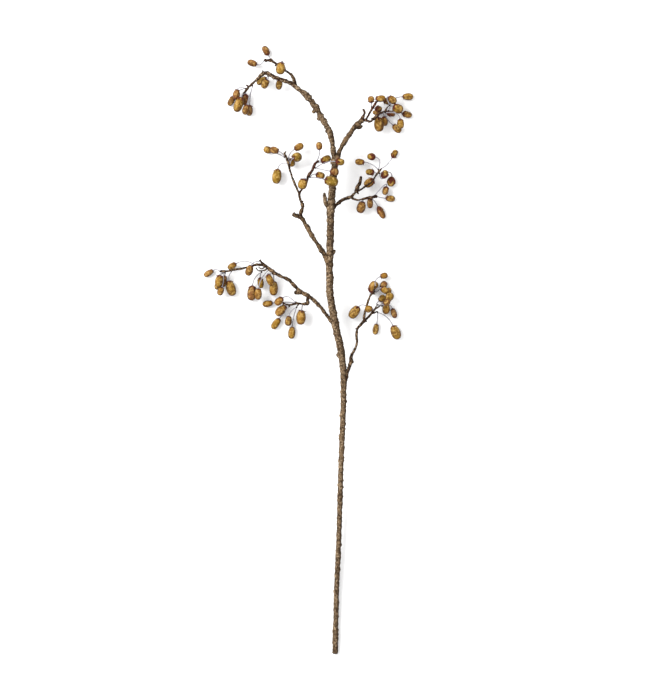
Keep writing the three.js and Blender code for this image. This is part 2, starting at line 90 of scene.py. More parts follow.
# the directions the light mostly comes from: bark and skin get painted shade as they turn away from these
WOOD_LIGHT_SIDE = (-0.5, 0.15, 0.85)
HIP_LIGHT_SIDE = (-0.15, 0.1, 1.0)

# ---- the trunk's knobs: y, side (-1 left, 1 right) and height ----
TRUNK_KNOBS = [
    (116, 1, 1.0), (97, -1, 1.0), (72, 1, 0.8), (48, -1, 0.8), (29, -1, 0.9), (12, 1, 0.8),
    (-11, -1, 1.6), (-34, 1, 0.8), (-70, -1, 1.2), (-85, 1, 1.9), (-102, 1, 1.5), (-108, -1, 1.3),
    (-121, 1, 1.3), (-130, 1, 1.0), (-141, -1, 2.0), (-161, 1, 1.6), (-178, 1, 0.9), (-184, -1, 1.1),
    (-205, 1, 0.9), (-223, -1, 1.0), (-242, 1, 0.8), (-262, -1, 0.9), (-292, 1, 0.9), (-308, -1, 0.8),
    (-323, 1, 1.3), (-337, 1, 1.0), (-352, -1, 0.8), (-364, 1, 0.9), (-399, -1, 1.9), (-418, 1, 0.8),
    (-441, 1, 1.2), (-464, 1, 1.2), (-464, -1, 0.7), (142, -1, 1.2), (180, 1, 1.0), (214, -1, 1.0),
    (196, -1, 0.8), (246, 1, 1.0), (268, -1, 0.9),
]

# ---- wood: each rod is a list of stations [x, y, z, radius] from its root to its tip ----
WOOD = {
    "main_stem": {
        "trunk": [
            [44, -503, 4.5, 4.5], [45, -446, 6.3, 4.1], [47, -380, 8.8, 4.1], [50, -314, 11.8, 4.1],
            [52, -248, 15, 4.2], [54, -182, 18, 4.3], [56.5, -116, 21, 4.6], [58, -70, 23, 4.8],
            [57, -30, 25, 5.2], [53.5, 0, 27, 5.8], [47, 30, 28.5, 6.1], [41, 60, 29.5, 5.9],
            [36, 90, 30.5, 5.7], [35, 125, 32, 5.5], [35.3, 165, 34, 5.6], [36.3, 200, 35.5, 6.1],
            [36.8, 225, 36.5, 6.3], [38.6, 255, 37.3, 5.8], [41, 285, 38.3, 5.8], [43.5, 304, 38.9, 5.6],
            [44, 313, 39, 4.5],
        ],
        "arch": [
            [43.4, 306, 39, 5.0], [40.8, 332, 40, 4.2], [34.4, 360, 41.5, 4.4], [24.8, 377, 42, 4.6],
            [11.5, 400, 42, 4.7], [-2, 417.5, 41.5, 4.5], [-14, 428, 40.5, 3.0], [-31, 440, 39, 3.0],
            [-53, 448, 36.5, 2.7], [-69, 456, 33.5, 3.0], [-75, 455, 32, 2.7], [-84, 447, 29, 2.0],
            [-96, 436.5, 26, 1.7], [-108, 423, 23, 1.9],
        ],
        "short_stub": [[34, 232, 36.5, 3.0], [28.6, 241, 39, 2.8], [27.2, 250, 41, 2.6], [26, 259, 42, 2.1]],
        "right_spur": [[38, 154, 33.5, 2], [42.5, 161, 33.5, 1.6], [43.5, 165.5, 33.5, 1.1]],
        "left_burr": [[52, -6, 26.5, 4], [47.5, -12, 26, 1.8]],
        "right_burr": [[36, 122, 32, 3.4], [41.5, 117, 32, 1.5]],
        "lower_burr": [[55, -92, 22, 3.4], [61.5, -87, 22, 1.5]],
        "arch_burr_1": [[33, 362, 41.5, 3.2], [28.2, 357.5, 41, 2.0]],
        "arch_burr_2": [[20, 384, 42, 3.4], [14.8, 378, 41.5, 2.0]],
        "arch_burr_3": [[12, 397, 42, 3.4], [7, 389.5, 42, 1.8]],
        "knuckle_knob": [[-72, 456, 32.5, 1.8], [-76.5, 460.5, 33.5, 1.1]],
        "tip_spur": [[-98, 434, 25.5, 1.4], [-103, 437.5, 26.5, 1.1]],
    },
    "top_left_twig": {
        "arch_twig": [
            [-20, 432, 40, 2.3], [-23.5, 445, 39, 2.2], [-28, 453, 37, 1.8], [-37, 459.5, 33, 1.6],
            [-46, 466, 30, 1.5], [-54, 472.5, 27, 1.7], [-62, 477.5, 24, 2.1], [-71, 478, 22, 2.1],
        ],
        "arch_twig_spur": [[-52.5, 471.5, 27.5, 1.3], [-55.5, 468, 27.5, 0.9]],
    },
    "top_right_branch": {
        "top_right_limb": [
            [45.5, 310, 39.3, 4.0], [50.5, 325, 40, 3.5], [57, 338.5, 40, 3.3], [65, 351, 39, 3.4],
            [73.5, 363.5, 38, 4.0], [82, 372.5, 37, 5.0], [90, 379, 36, 3.0],
        ],
        "top_right_stub": [
            [87, 378, 36.5, 2.6], [90.5, 385, 38, 2.3], [92.5, 391, 39, 2.0], [89.5, 397, 40, 1.2],
        ],
        "top_right_bud": [[79, 370, 36.5, 3.2], [83.5, 366.5, 35.5, 2.9], [89.5, 369.5, 35, 1.7]],
        "top_right_upper_twig": [
            [89, 378.5, 36, 2], [94.5, 380, 35.5, 1.6], [99, 387, 34, 1.4], [103.5, 395.5, 33, 1.6],
            [108, 402.5, 31.5, 1.7], [112, 409.5, 30, 1.4],
        ],
        "top_right_upper_spur": [[105.5, 398, 32.5, 1.3], [103.3, 402, 33, 1]],
        "top_right_lower_twig": [
            [89, 378.5, 36, 2], [97, 377.5, 35, 1.7], [101.5, 376, 34, 1.5], [108, 381.5, 32.5, 1.8],
            [115, 388, 31, 1.6], [122, 392.5, 29.5, 1.3], [130, 394.5, 28, 1.2],
        ],
        "top_right_nub": [[105, 379, 33, 1.4], [104.5, 383, 33.5, 0.9]],
        "top_right_hook": [[126.5, 393.7, 28.7, 1.1], [129, 399, 28.5, 1], [132.5, 402.5, 28.5, 0.8]],
    },
    "mid_left_branch": {
        "mid_left_limb": [
            [35, 143, 33, 4.2], [26, 158, 33.5, 3.7], [16, 173, 34, 3.4], [8, 184.5, 34.5, 3.3],
            [-3, 204, 35.5, 3.3], [-12, 217.5, 36, 3.4], [-27, 224, 36.5, 4.0],
        ],
        "mid_left_spur": [[18, 169, 34, 2.2], [22.5, 171, 34, 1.5]],
        "mid_left_riser": [
            [-13, 217, 36, 2.8], [-12.7, 226, 36.5, 2.6], [-9.5, 235, 37, 2.6], [-11.5, 243, 37.3, 2.3],
            [-14.5, 251, 37.6, 2.0], [-15.4, 260, 38, 1.8],
        ],
        "mid_left_nub": [[-12, 244, 37.3, 1.3], [-8, 245.5, 37.5, 0.9]],
        "mid_left_outer_twig": [
            [-15.4, 258, 38, 1.5], [-22, 272.5, 36, 1.7], [-27, 285, 33.5, 1.6], [-31.5, 300, 31, 1.6],
            [-34.5, 312, 28.5, 1.5], [-37.5, 320, 26.5, 1.6], [-39.5, 324, 26, 1.1], [-37, 328, 26, 0.8],
        ],
        "mid_left_inner_twig": [
            [-15.4, 258, 38, 1.7], [-9, 267, 39, 1.5], [-2.6, 278, 40, 2.1], [-0.5, 286, 41.5, 2.2],
            [5.5, 294, 43, 1.7], [9, 302, 44.5, 2.2], [12, 307.5, 45.5, 1.6], [17, 311, 46, 1.5],
        ],
    },
    "mid_right_branch": {
        "mid_right_limb": [
            [38, 231, 36.8, 3.2], [44, 237, 37, 2.8], [52, 244.5, 36, 2.4], [60, 249, 35, 2.2],
            [70, 252.5, 33.5, 2.1], [74.8, 257, 33, 2.0], [79, 262, 33, 2.0],
        ],
        "mid_right_stub": [
            [78, 260.5, 33, 2.2], [81, 269, 34, 2.6], [85, 277, 35, 2.6], [86.5, 286.5, 36, 2.0],
        ],
        "mid_right_nub": [[79.5, 262, 33, 1.4], [82.5, 257, 32.5, 0.9]],
        "mid_right_upper_twig": [
            [78, 260.5, 33, 1.6], [88, 265.5, 31.5, 1.3], [96, 271.5, 30, 1.3], [104, 277, 29, 1.2],
            [109, 284.5, 28, 1.3], [114.5, 292, 27, 1.3], [119.5, 298.5, 26, 1.1],
        ],
        "mid_right_lower_twig": [
            [69, 252.3, 33.5, 1.5], [76.5, 248.3, 32, 1.4], [83, 247.2, 30.5, 1.3], [91, 249.3, 29, 1.4],
            [99, 251, 28, 2.2], [105, 252, 27, 2.3], [111.8, 253.6, 26, 2.0],
        ],
    },
    "lower_left_branch": {
        "lower_left_limb": [
            [47, 36, 28.8, 3.6], [38, 47, 29.3, 2.8], [28, 60, 29.5, 2.5], [18, 73, 29.5, 2.6],
            [6, 84.5, 29.3, 2.9], [-3, 90.5, 29, 2.9], [-14, 97, 28.3, 2.9], [-23, 106, 27.7, 2.6],
            [-32, 115, 27, 2.4], [-41, 119.5, 26.3, 2.3], [-52, 125, 25.5, 2.4], [-68, 136.5, 24, 2.5],
            [-75, 142.5, 24.5, 1.9], [-81, 149, 26, 1.4],
        ],
        "lower_left_blunt_stub": [[-11, 95.5, 28.5, 3.1], [-24, 94.5, 28, 3.2]],
        "lower_left_nub": [[-52, 126.5, 25.5, 1.8], [-58.5, 124.5, 25, 1.2]],
        "lower_left_outer_twig": [
            [-70, 138.5, 24, 1.9], [-83, 141, 23, 1.8], [-95, 138.5, 21.5, 1.5], [-104, 136, 20.5, 1.5],
            [-111, 134.3, 19.5, 1.8], [-122, 132.8, 18, 1.4], [-133, 130.5, 17, 1.4], [-144, 130, 16, 1.9],
        ],
        "lower_left_zigzag": [
            [-67, 135.5, 24, 1.2], [-73, 131.5, 23.5, 1], [-83, 131.5, 23, 0.9], [-87, 136, 23, 0.8],
        ],
        "lower_left_cross_spur": [[-71, 138, 24.5, 1.1], [-77, 134, 26.5, 0.9], [-83, 137, 28, 0.8]],
        "lower_left_inner_twig": [
            [0, 89, 29, 2.4], [-1.5, 82, 28, 2.5], [-1.5, 77.5, 27, 2.5], [-9, 76.3, 26.5, 1.5],
            [-17, 76.5, 26, 1.5], [-25, 75.8, 25.5, 1.3], [-30, 74.2, 25, 1.3], [-36, 75.3, 24.5, 1.2],
            [-42, 77.5, 24, 1.2],
        ],
        "lower_left_upper_spur": [[-16, 76.5, 26, 1.1], [-22, 80, 27, 0.8]],
        "lower_left_lower_spur": [[-15, 76.5, 26, 1.1], [-19, 72.5, 25.5, 0.9]],
    },
    "lower_right_branch": {
        "lower_right_limb": [
            [58, -64, 23.3, 3.0], [62.5, -45, 24, 2.7], [65, -34, 24.5, 2.4], [70, -20, 25, 2.7],
            [70.5, -10, 25.5, 2.4], [76, 0, 26, 1.9], [80, 11, 26, 1.8], [79.5, 24, 26, 1.8],
            [81, 35, 26, 1.8], [87, 42.5, 25.5, 2.2], [93, 49, 25, 2.1],
        ],
        "lower_right_nub": [[70.5, -18, 25, 2.2], [74.5, -21, 25, 1.1]],
        "lower_right_thorn": [[81, 33, 26, 1.2], [77.5, 36, 26, 0.8]],
        "lower_right_left_twig": [
            [92, 47, 25, 1.8], [92, 56, 25.5, 1.8], [94, 66, 26.5, 1.5], [97, 77, 27, 1.4],
            [101.5, 88, 27.5, 1.3], [107, 95.5, 28, 1.4], [109.5, 104, 28, 1.1],
        ],
        "lower_right_left_nub": [[105.5, 93.5, 28, 1.2], [110.5, 92, 28, 0.8]],
        "lower_right_right_twig": [
            [91.5, 47.5, 25, 1.8], [99, 54.8, 24.5, 1.6], [104.5, 61, 24, 1.7], [109.5, 67, 23, 1.4],
            [116, 71.5, 22, 1.3], [123, 76.5, 21, 1.3],
        ],
        "lower_right_right_nub": [[93, 50, 25, 1.4], [96.5, 46.5, 24.8, 0.9]],
        "lower_right_upper_spur": [[107.5, 65, 23.3, 1.1], [112.5, 73.5, 25, 0.7]],
        "lower_right_lower_spur": [[103.5, 60.3, 24, 1.2], [108, 61, 24, 1], [113, 64, 24.3, 0.8]],
    },
}

# ---- hips: node, rod, share of the rod's length where the stalk leaves, and for each hip
# [x, y, z, length, width, heading, pitch, tone], tone from 0, olive, to 1, copper brown ----
HIPS = [
    ["top_left_hip_1", "arch_twig", 0.79, [[-70.7, 495.6, 5.4, 17, 10.7, 118, 0, 0.85]]],
    ["top_left_hip_2", "arch_twig", 1, [[-93.3, 474.5, 11, 16.4, 11, 162, -8, 0.85]]],
    ["top_left_hip_3", "arch_twig", 0.43, [[-45.8, 463.4, 42, 20.5, 15, 263, -6, 0.4]]],
    ["top_left_hips_4_5", "arch", 0.775, [
        [-77.5, 445.2, 10, 19, 10, 215, -10, 0.25], [-71.6, 439.3, 22, 16.5, 11.5, 240, -14, 0.5]]],
    ["top_left_hip_6", "arch", 0.7, [[-48.4, 438.5, 20, 18, 11, 262, -25, 0.35]]],
    ["top_left_hips_7_8", "arch", 0.965, [
        [-119.2, 422, 17, 17.5, 11.5, 258, -12, 0.88], [-128, 412.3, 4.8, 17.8, 9.5, 240, 0, 0.6]]],
    ["top_left_hips_9_10", "arch", 1, [
        [-115.4, 405.2, 21, 26, 14.5, 250, -6, 0.4], [-104.9, 414.5, 6, 19, 12, 265, 0, 0.9]]],
    ["top_left_hips_11_12", "arch", 0.92, [
        [-103.5, 397, 19, 17, 11.5, 255, -18, 0.7], [-98, 396.5, 6.5, 18, 10.5, 268, -4, 1]]],

    ["top_right_hips_1_9", "top_right_upper_twig", 0.5, [
        [103.2, 413.5, 24, 11.5, 10.5, 95, 0, 0.7], [115.3, 397.9, 20, 12, 10.5, 350, -20, 0.95]]],
    ["top_right_hips_2_3", "top_right_upper_twig", 1, [
        [118.9, 414.9, 24, 17, 11, 5, -8, 0.5], [129.6, 411.3, 8, 13, 9.5, 330, -10, 0.95]]],
    ["top_right_hips_4_5", "top_right_hook", 1, [
        [138.1, 413.1, 20, 16, 12.5, 325, -8, 0.55], [164.5, 419.4, 5.6, 17.8, 11.2, 0, 0, 0.5]]],
    ["top_right_hips_6_7", "top_right_lower_twig", 1, [
        [147.5, 398.8, 19, 18, 15, 335, -10, 0.35], [163.2, 389.8, 5.3, 16.5, 10.5, 345, 0, 0.6]]],
    ["top_right_hips_8_14", "top_right_lower_twig", 0.82, [
        [135.9, 391.2, 8, 15.5, 9, 345, -10, 0.85], [112.5, 392.8, 8, 13, 8, 175, -10, 0.75]]],
    ["top_right_hips_10_11", "top_right_lower_twig", 0.62, [
        [116.2, 372.8, 17, 24.5, 15.5, 277, -12, 0.5], [126, 379.1, 6.6, 17.5, 10.5, 275, -30, 0.65]]],
    ["top_right_hips_12_13", "top_right_lower_twig", 0.92, [
        [152, 373.7, 18, 16.5, 11.5, 275, -15, 0.5], [146.2, 366.6, 5.8, 17, 11.5, 320, 0, 0.6]]],

    ["mid_left_hips_1_2", "mid_left_outer_twig", 0.87, [
        [-67.7, 331.4, 5.8, 14, 11.5, 160, 0, 0.45], [-56.6, 330.1, 17, 15, 11.5, 165, -10, 0.7]]],
    ["mid_left_hip_3", "mid_left_outer_twig", 0.82, [[-15.9, 335.4, 20, 16.5, 11.5, 30, -6, 0.55]]],
    ["mid_left_hips_4_5", "mid_left_outer_twig", 0.68, [
        [-19.4, 318, 26, 17, 15.5, 20, -45, 0.1], [-28.4, 310, 11, 14, 11.5, 295, -20, 0.4]]],
    ["mid_left_hip_6", "mid_left_outer_twig", 0.72, [[-52.5, 287.1, 12, 25, 15, 262, -5, 0.3]]],
    ["mid_left_hips_7_8", "mid_left_inner_twig", 0.9, [
        [17.7, 336.3, 34, 13.5, 10.3, 95, -10, 0.75], [28.4, 314, 34, 18.5, 12, 28, -15, 0.2]]],
    ["mid_left_hip_9", "mid_left_inner_twig", 0.4, [[-9.6, 272.8, 49.5, 18, 15, 255, -10, 0.4]]],
    ["mid_left_hips_10_11", "mid_left_inner_twig", 0.5, [
        [19.5, 287.6, 34, 15.2, 11.8, 345, -12, 0.55], [37.8, 277, 53.5, 23, 16.5, 345, 0, 0.08]]],
    ["mid_left_hips_12_13", "mid_left_inner_twig", 0.78, [
        [42.8, 292.5, 52, 14.5, 13, 350, -8, 1], [51.8, 309, 52, 15, 11.2, 355, -6, 0.15]]],

    ["mid_right_hip_1", "mid_right_upper_twig", 1, [[142.2, 324.8, 4.8, 15, 9.5, 60, 0, 0.5]]],
    ["mid_right_hips_2_3", "mid_right_upper_twig", 0.94, [
        [103.9, 319.7, 12, 14, 11, 172, -15, 0.25], [84.6, 311, 14, 15.5, 10.5, 175, -8, 0.6]]],
    ["mid_right_hip_4", "mid_right_upper_twig", 0.8, [[101.6, 294, 15, 14.5, 10.5, 175, -15, 0.1]]],
    ["mid_right_hips_5_6", "mid_right_upper_twig", 0.88, [
        [125.6, 290.1, 20, 15, 11, 62, 5, 0.35], [136.7, 278.6, 8, 16.5, 12.5, 262, -10, 0.4]]],
    ["mid_right_hip_7", "mid_right_upper_twig", 0.69, [[100.4, 276.6, 13, 19, 13.5, 215, -12, 0.6]]],
    ["mid_right_hip_8", "mid_right_lower_twig", 0.94, [[127.2, 263.6, 10, 14.5, 10, 255, -12, 0.75]]],
    ["mid_right_hip_9", "mid_right_lower_twig", 1, [[135.5, 250.6, 5.1, 15.5, 10.2, 355, 0, 0.45]]],
    ["mid_right_hip_10", "mid_right_lower_twig", 0.49, [[87, 236, 15, 20, 14.5, 255, -15, 0.75]]],
    ["mid_right_hips_11_12", "mid_right_lower_twig", 0.84, [
        [101.6, 242.7, 14, 17.5, 10, 270, -20, 0.8], [120.1, 227.7, 5.3, 22.5, 10.5, 298, 0, 0.7]]],

    ["lower_left_hip_1", "lower_left_outer_twig", 1, [[-165.6, 127.2, 4.8, 17.5, 9.5, 212, 0, 0.75]]],
    ["lower_left_hip_2", "lower_left_outer_twig", 0.265, [[-126.6, 138.8, 9, 16, 10, 212, -8, 0.5]]],
    ["lower_left_hips_3_4", "lower_left_outer_twig", 0.92, [
        [-148.1, 113.8, 17.2, 21, 12.5, 262, -8, 0.4], [-140.5, 113.8, 5.5, 19, 10, 260, 0, 0.95]]],
    ["lower_left_hips_5_6", "lower_left_outer_twig", 0.97, [
        [-151.2, 106.6, 4.5, 14, 9, 265, 0, 0.6], [-145.4, 97.2, 14.5, 15, 10.5, 250, -12, 0.65]]],
    ["lower_left_hip_7", "lower_left_outer_twig", 0.78, [[-128.4, 102.1, 7.8, 26, 15.5, 285, 0, 0.4]]],
    ["lower_left_hip_8", "lower_left_limb", 0.99, [[-97.6, 131.2, 28, 18, 12, 250, -10, 0.7]]],
    ["lower_left_hips_9_10", "lower_left_zigzag", 0.5, [
        [-94, 94.1, 7.5, 25, 14.5, 265, 0, 0.82], [-79.2, 111.1, 10, 18.5, 10, 275, -10, 0.35]]],
    ["lower_left_hip_11", "lower_left_limb", 0.87, [[-83.3, 92.3, 18, 19, 12, 265, -8, 0.7]]],
    ["lower_left_hips_12_13", "lower_left_limb", 0.82, [
        [-63.6, 115.6, 20.5, 20.5, 11.5, 292, -8, 0.5], [-57.8, 102.1, 7, 24, 14, 268, 0, 0.45]]],
    ["lower_left_hips_14_15", "lower_left_inner_twig", 0.6, [
        [-68, 76.6, 5.3, 16.8, 10.5, 188, 0, 0.55], [-48.8, 80.7, 17, 16.5, 12, 222, -10, 0.65]]],
    ["lower_left_hips_16_17", "lower_left_inner_twig", 0.79, [
        [-45.6, 65.4, 8, 22.5, 14, 222, -4, 0.6], [-54.1, 43.5, 5.8, 21, 11.5, 235, 0, 0.45]]],
    ["lower_left_hips_18_19", "lower_left_lower_spur", 1, [
        [-33.3, 48, 10, 16.5, 11.5, 262, -15, 0.5], [-28, 28.3, 5.8, 20, 11.5, 265, 0, 0.45]]],
    ["lower_left_hip_20", "lower_left_inner_twig", 0.38, [[-12.5, 53.8, 16, 24.5, 15.5, 265, -14, 0.55]]],

    ["lower_right_hip_1", "lower_right_left_twig", 1, [[124.9, 122.9, 10, 12.5, 10.2, 15, -5, 0.6]]],
    ["lower_right_hip_2", "lower_right_left_twig", 0.77, [[106.9, 104.1, 11, 21, 14.5, 65, -4, 0.55]]],
    ["lower_right_hips_3_4", "lower_right_left_twig", 0.87, [
        [124.2, 108, 6, 13, 11, 50, -5, 0.85], [125.7, 99, 17.5, 14, 11, 330, -10, 0.45]]],
    ["lower_right_hips_5_6", "lower_right_right_twig", 1, [
        [132.3, 97, 5.5, 13, 9.5, 80, -5, 0.55], [133.8, 87.9, 18.5, 15, 13.3, 60, 0, 0.3]]],
    ["lower_right_hips_7_8", "lower_right_upper_spur", 1, [
        [121.6, 85.4, 5.5, 13, 10.5, 40, 0, 0.4], [129, 78.7, 30, 12, 11, 30, 5, 0.65]]],
    ["lower_right_hips_9_10", "lower_right_right_twig", 0.92, [
        [128.3, 68.1, 7.5, 18, 12.5, 268, -6, 0.55], [141.2, 60.7, 4.8, 16.5, 9.5, 288, 0, 1]]],
    ["lower_right_hips_11_12", "lower_right_right_twig", 0.5, [
        [99.1, 67.7, 33, 12.5, 11.5, 180, 0, 0.5], [75.9, 62.5, 14, 23.5, 15.5, 232, -10, 0.45]]],
    ["lower_right_hips_13_14", "lower_right_lower_spur", 1, [
        [111.3, 34.2, 4.9, 18, 9.8, 260, 0, 0.45], [144, 29, 7.7, 24.4, 15.3, 292, 0, 0.35]]],
]


# ---- surfaces worked out on a grid ----
def unit(vectors):
    """Each vector divided by its length."""
    return vectors / np.linalg.norm(vectors, axis=-1, keepdims=True)


class Surface:
    """Closed grids of points, gathered into one mesh with a value or two at each point.

    A grid has rings by sides: each ring closes on itself, and a pole point closes each end.
    """

    def __init__(self):
        self.points = []
        self.faces = []
        self.values = {}
        self.count = 0

    def add(self, rings, poles, **values):
        """Adds one closed grid. Its faces are turned outwards by the sign of its volume."""
        ring_count, sides, _ = rings.shape
        points = np.vstack([rings.reshape(-1, 3), poles])
        points[:, 2] = np.maximum(points[:, 2], 0.0)
        index = np.arange(ring_count * sides).reshape(ring_count, sides)
        beside = np.roll(index, -1, axis=1)
        quads = np.stack([index[:-1], beside[:-1], beside[1:], index[1:]], axis=-1).reshape(-1, 4)
        first = np.full(sides, ring_count * sides)
        start = np.stack([first, beside[0], index[0]], axis=-1)
        end = np.stack([first + 1, index[-1], beside[-1]], axis=-1)
        caps = np.vstack([start, end])
        a, b, c, d = (points[quads[:, i]] - points[0] for i in range(4))
        if np.sum(np.cross(a, b) * c) + np.sum(np.cross(a, c) * d) < 0:
            quads, caps = quads[:, ::-1], caps[:, ::-1]
        self.points.append(points)
        self.faces += (quads + self.count).tolist() + (caps + self.count).tolist()
        self.count += len(points)
        for name, value in values.items():
            grid = np.broadcast_to(value, (ring_count, sides))
            ends = [grid[0].mean(), grid[-1].mean()]
            self.values.setdefault(name, []).append(np.concatenate([grid.reshape(-1), ends]))

    def piece(self, name, material, slot):
        """The mesh object in metres, riding on the sprig's one body; slot is not used."""
        mesh = bpy.data.meshes.new(name)
        mesh.from_pydata((np.vstack(self.points) * MM).tolist(), [], self.faces)
        for value_name, parts in self.values.items():
            layer = mesh.attributes.new(value_name, "FLOAT", "POINT")
            layer.data.foreach_set("value", np.concatenate(parts).astype(np.float32))
        mesh.polygons.foreach_set("use_smooth", np.ones(len(mesh.polygons), dtype=bool))
        mesh.materials.append(material)
        mesh.update()
        made = bpy.data.objects.new(name, mesh)
        bpy.context.scene.collection.objects.link(made)
        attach(made, "root")
        return made


def soft_noise(rng, along, around, cell, lobes):
    """Smooth noise from -1 to 1 on a grid: random values every cell of length and lobes times round.

    along holds one length for each ring and around one turn from 0 to 1 for each side. The values
    between the random ones follow the smoothstep curve 3t^2 - 2t^3 both ways.
    """
    place = along / cell
    turn = around * lobes
    table = rng.uniform(-1, 1, (int(place.max()) + 3, lobes))
    row = np.floor(place).astype(int)
    column = np.floor(turn).astype(int)
    u = (place - row)[:, None]
    v = (turn - column)[None, :]
    u = u * u * (3 - 2 * u)
    v = v * v * (3 - 2 * v)
    left, right = column % lobes, (column + 1) % lobes
    low = table[row][:, left] * (1 - v) + table[row][:, right] * v
    high = table[row + 1][:, left] * (1 - v) + table[row + 1][:, right] * v
    return low * (1 - u) + high * u


# ---- paths ----
def rod_path(stations, step):
    """Points and radii every step along the centripetal Catmull-Rom curve through the stations.

    Between two stations the curve is a cubic whose end slopes come from the uneven differences of the
    four stations around it, spaced by the square root of their distances. The radius runs straight
    from station to station.
    """
    table = np.array(stations, dtype=float)
    points = table[:, :3]
    points = np.vstack([2 * points[0] - points[1], points, 2 * points[-1] - points[-2]])
    spacing = np.sqrt(np.linalg.norm(np.diff(points, axis=0), axis=1))
    fine_points, fine_radii = [], []
    for i in range(len(table) - 1):
        p0, p1, p2, p3 = points[i:i + 4]
        d0, d1, d2 = spacing[i:i + 3]
        slope1 = ((p1 - p0) / d0 - (p2 - p0) / (d0 + d1) + (p2 - p1) / d1) * d1
        slope2 = ((p2 - p1) / d1 - (p3 - p1) / (d1 + d2) + (p3 - p2) / d2) * d1
        t = np.linspace(0, 1, 60, endpoint=i == len(table) - 2)[:, None]
        cubic = (2 * t**3 - 3 * t**2 + 1) * p1 + (t**3 - 2 * t**2 + t) * slope1
        cubic = cubic + (3 * t**2 - 2 * t**3) * p2 + (t**3 - t**2) * slope2
        fine_points.append(cubic)
        fine_radii.append(table[i, 3] + (table[i + 1, 3] - table[i, 3]) * t[:, 0])
    return even_steps(np.vstack(fine_points), np.concatenate(fine_radii), step)


def even_steps(points, radii, step):
    """The path taken again at even lengths: returns points, radii and the length at each."""
    lengths = np.concatenate([[0], np.cumsum(np.linalg.norm(np.diff(points, axis=0), axis=1))])
    count = max(6, int(round(lengths[-1] / step)) + 1)
    wanted = np.linspace(0, lengths[-1], count)
    taken = np.stack([np.interp(wanted, lengths, points[:, k]) for k in range(3)], axis=1)
    return taken, np.interp(wanted, lengths, radii), wanted


def path_frames(points):
    """Tangents and two side directions at each point, carried along without twisting."""
    tangents = unit(np.gradient(points, axis=0))
    side = np.cross(tangents[0], [0.0, 0.0, 1.0])
    if np.linalg.norm(side) < 0.1:
        side = np.cross(tangents[0], [1.0, 0.0, 0.0])
    sides = []
    for tangent in tangents:
        side = side - tangent * np.dot(side, tangent)
        side = side / np.linalg.norm(side)
        sides.append(side)
    sides = np.array(sides)
    return tangents, sides, np.cross(tangents, sides)


def flank(normals, light_side):
    """Painted shade: 0 where a surface faces the light side, 1 where it turns square to it or away, by a
    soft step.
    """
    level = np.clip(1 - normals @ unit(np.array(light_side)) / 0.95, 0, 1)
    return level * level * (3 - 2 * level)


def tube_rings(points, radii, sides_count):
    """Rings round a path. radii is one radius for each ring, or for each point of each ring."""
    _, sides, others = path_frames(points)
    angle = np.linspace(0, 2 * np.pi, sides_count, endpoint=False)
    reach = np.broadcast_to(radii if np.ndim(radii) == 2 else radii[:, None], (len(points), sides_count))
    out = sides[:, None] * np.cos(angle)[None, :, None] + others[:, None] * np.sin(angle)[None, :, None]
    return points[:, None] + out * reach[..., None]


# ---- wood ----
def rod_kind(name):
    """Which of the four kinds of rod a name belongs to: they differ in fineness and in bark."""
    if name == "trunk":
        return "trunk"
    if name == "arch" or name.endswith("_limb"):
        return "limb"
    return "twig" if name.endswith(("_twig", "_riser")) else "spur"


def bark_relief(rng, along, sides_count, radius, kind):
    """How far bark stands out at each point, as a share of the radius.

    Long strips (noise stretched along the rod), lumps, fine grain, and a swollen leaf scar every few
    centimetres: a bump that rises steeply on its lower side, strongest on one side of the rod.
    """
    bark = TRUNK_BARK if kind == "trunk" else THIN_BARK
    around = np.arange(sides_count) / sides_count
    angle = around * 2 * np.pi
    strips = soft_noise(rng, along, around, bark["strip"], 8)
    lumps = soft_noise(rng, along, around, bark["lump"], 5)
    grain = soft_noise(rng, along, around, 2.2, bark["ridges"])
    relief = 0.05 * strips + bark["lump_rise"] * lumps + 0.12 * grain
    relief = relief + bark["swell_rise"] * soft_noise(rng, along, around, bark["swell"], 1)
    place = along[0] + rng.uniform(4, 12)
    while place < along[-1] - 2:
        offset = along - place
        rise = np.where(offset < 0, np.exp(-(offset / 0.9) ** 2), np.exp(-(offset / 3.2) ** 2))
        facing = 0.5 + 0.5 * np.cos(angle - rng.uniform(0, 2 * np.pi))
        height = rng.uniform(0.8, 1.8) / (radius.mean() + 2.5)
        relief = relief + height * rise[:, None] * (0.02 + facing[None, :] ** 5)
        place += rng.uniform(*bark["scar_gap"])
    return relief - relief.mean()


def knob_relief(points, radii, sides_count):
    """The trunk's own knobs: round bumps on its left or right side, as a share of the radius."""
    angle = np.arange(sides_count) / sides_count * 2 * np.pi
    relief = np.zeros((len(points), sides_count))
    for y, side, height in TRUNK_KNOBS:
        turn = np.angle(np.exp(1j * (angle - (0.0 if side > 0 else np.pi) - 0.35)))
        rise = np.exp(-((points[:, 1] - y) / 2.0) ** 2)
        relief = relief + (height / radii)[:, None] * rise[:, None] * np.exp(-(turn / 0.5) ** 2)[None, :]
    return relief


def sawn_end(points, rings, along, relief, age):
    """The trunk's sawn end: a bevelled edge, and a dished face of flat rings that close on its middle.

    Returns the rings and the middle of the face, then relief, age and cut with a row for each ring.
    """
    bevel = 1 - 0.22 * np.clip(1 - along / 1.5, 0, 1) ** 2
    rings = points[:, None] + (rings - points[:, None]) * bevel[:, None, None]
    step = points[1] - points[0]
    face = points[0] + (rings[0] - points[0]) * FACE_REACH[:, None, None] + FACE_DISH[:, None, None] * step
    bare = np.ones(len(FACE_REACH))
    relief = np.concatenate([np.zeros((len(bare), relief.shape[1])), relief])
    age = np.concatenate([bare, age])
    cut = np.concatenate([bare, np.exp(-(along / 1.7) ** 2)])
    return np.concatenate([face, rings]), points[0] + 0.9 * step, relief, age, cut


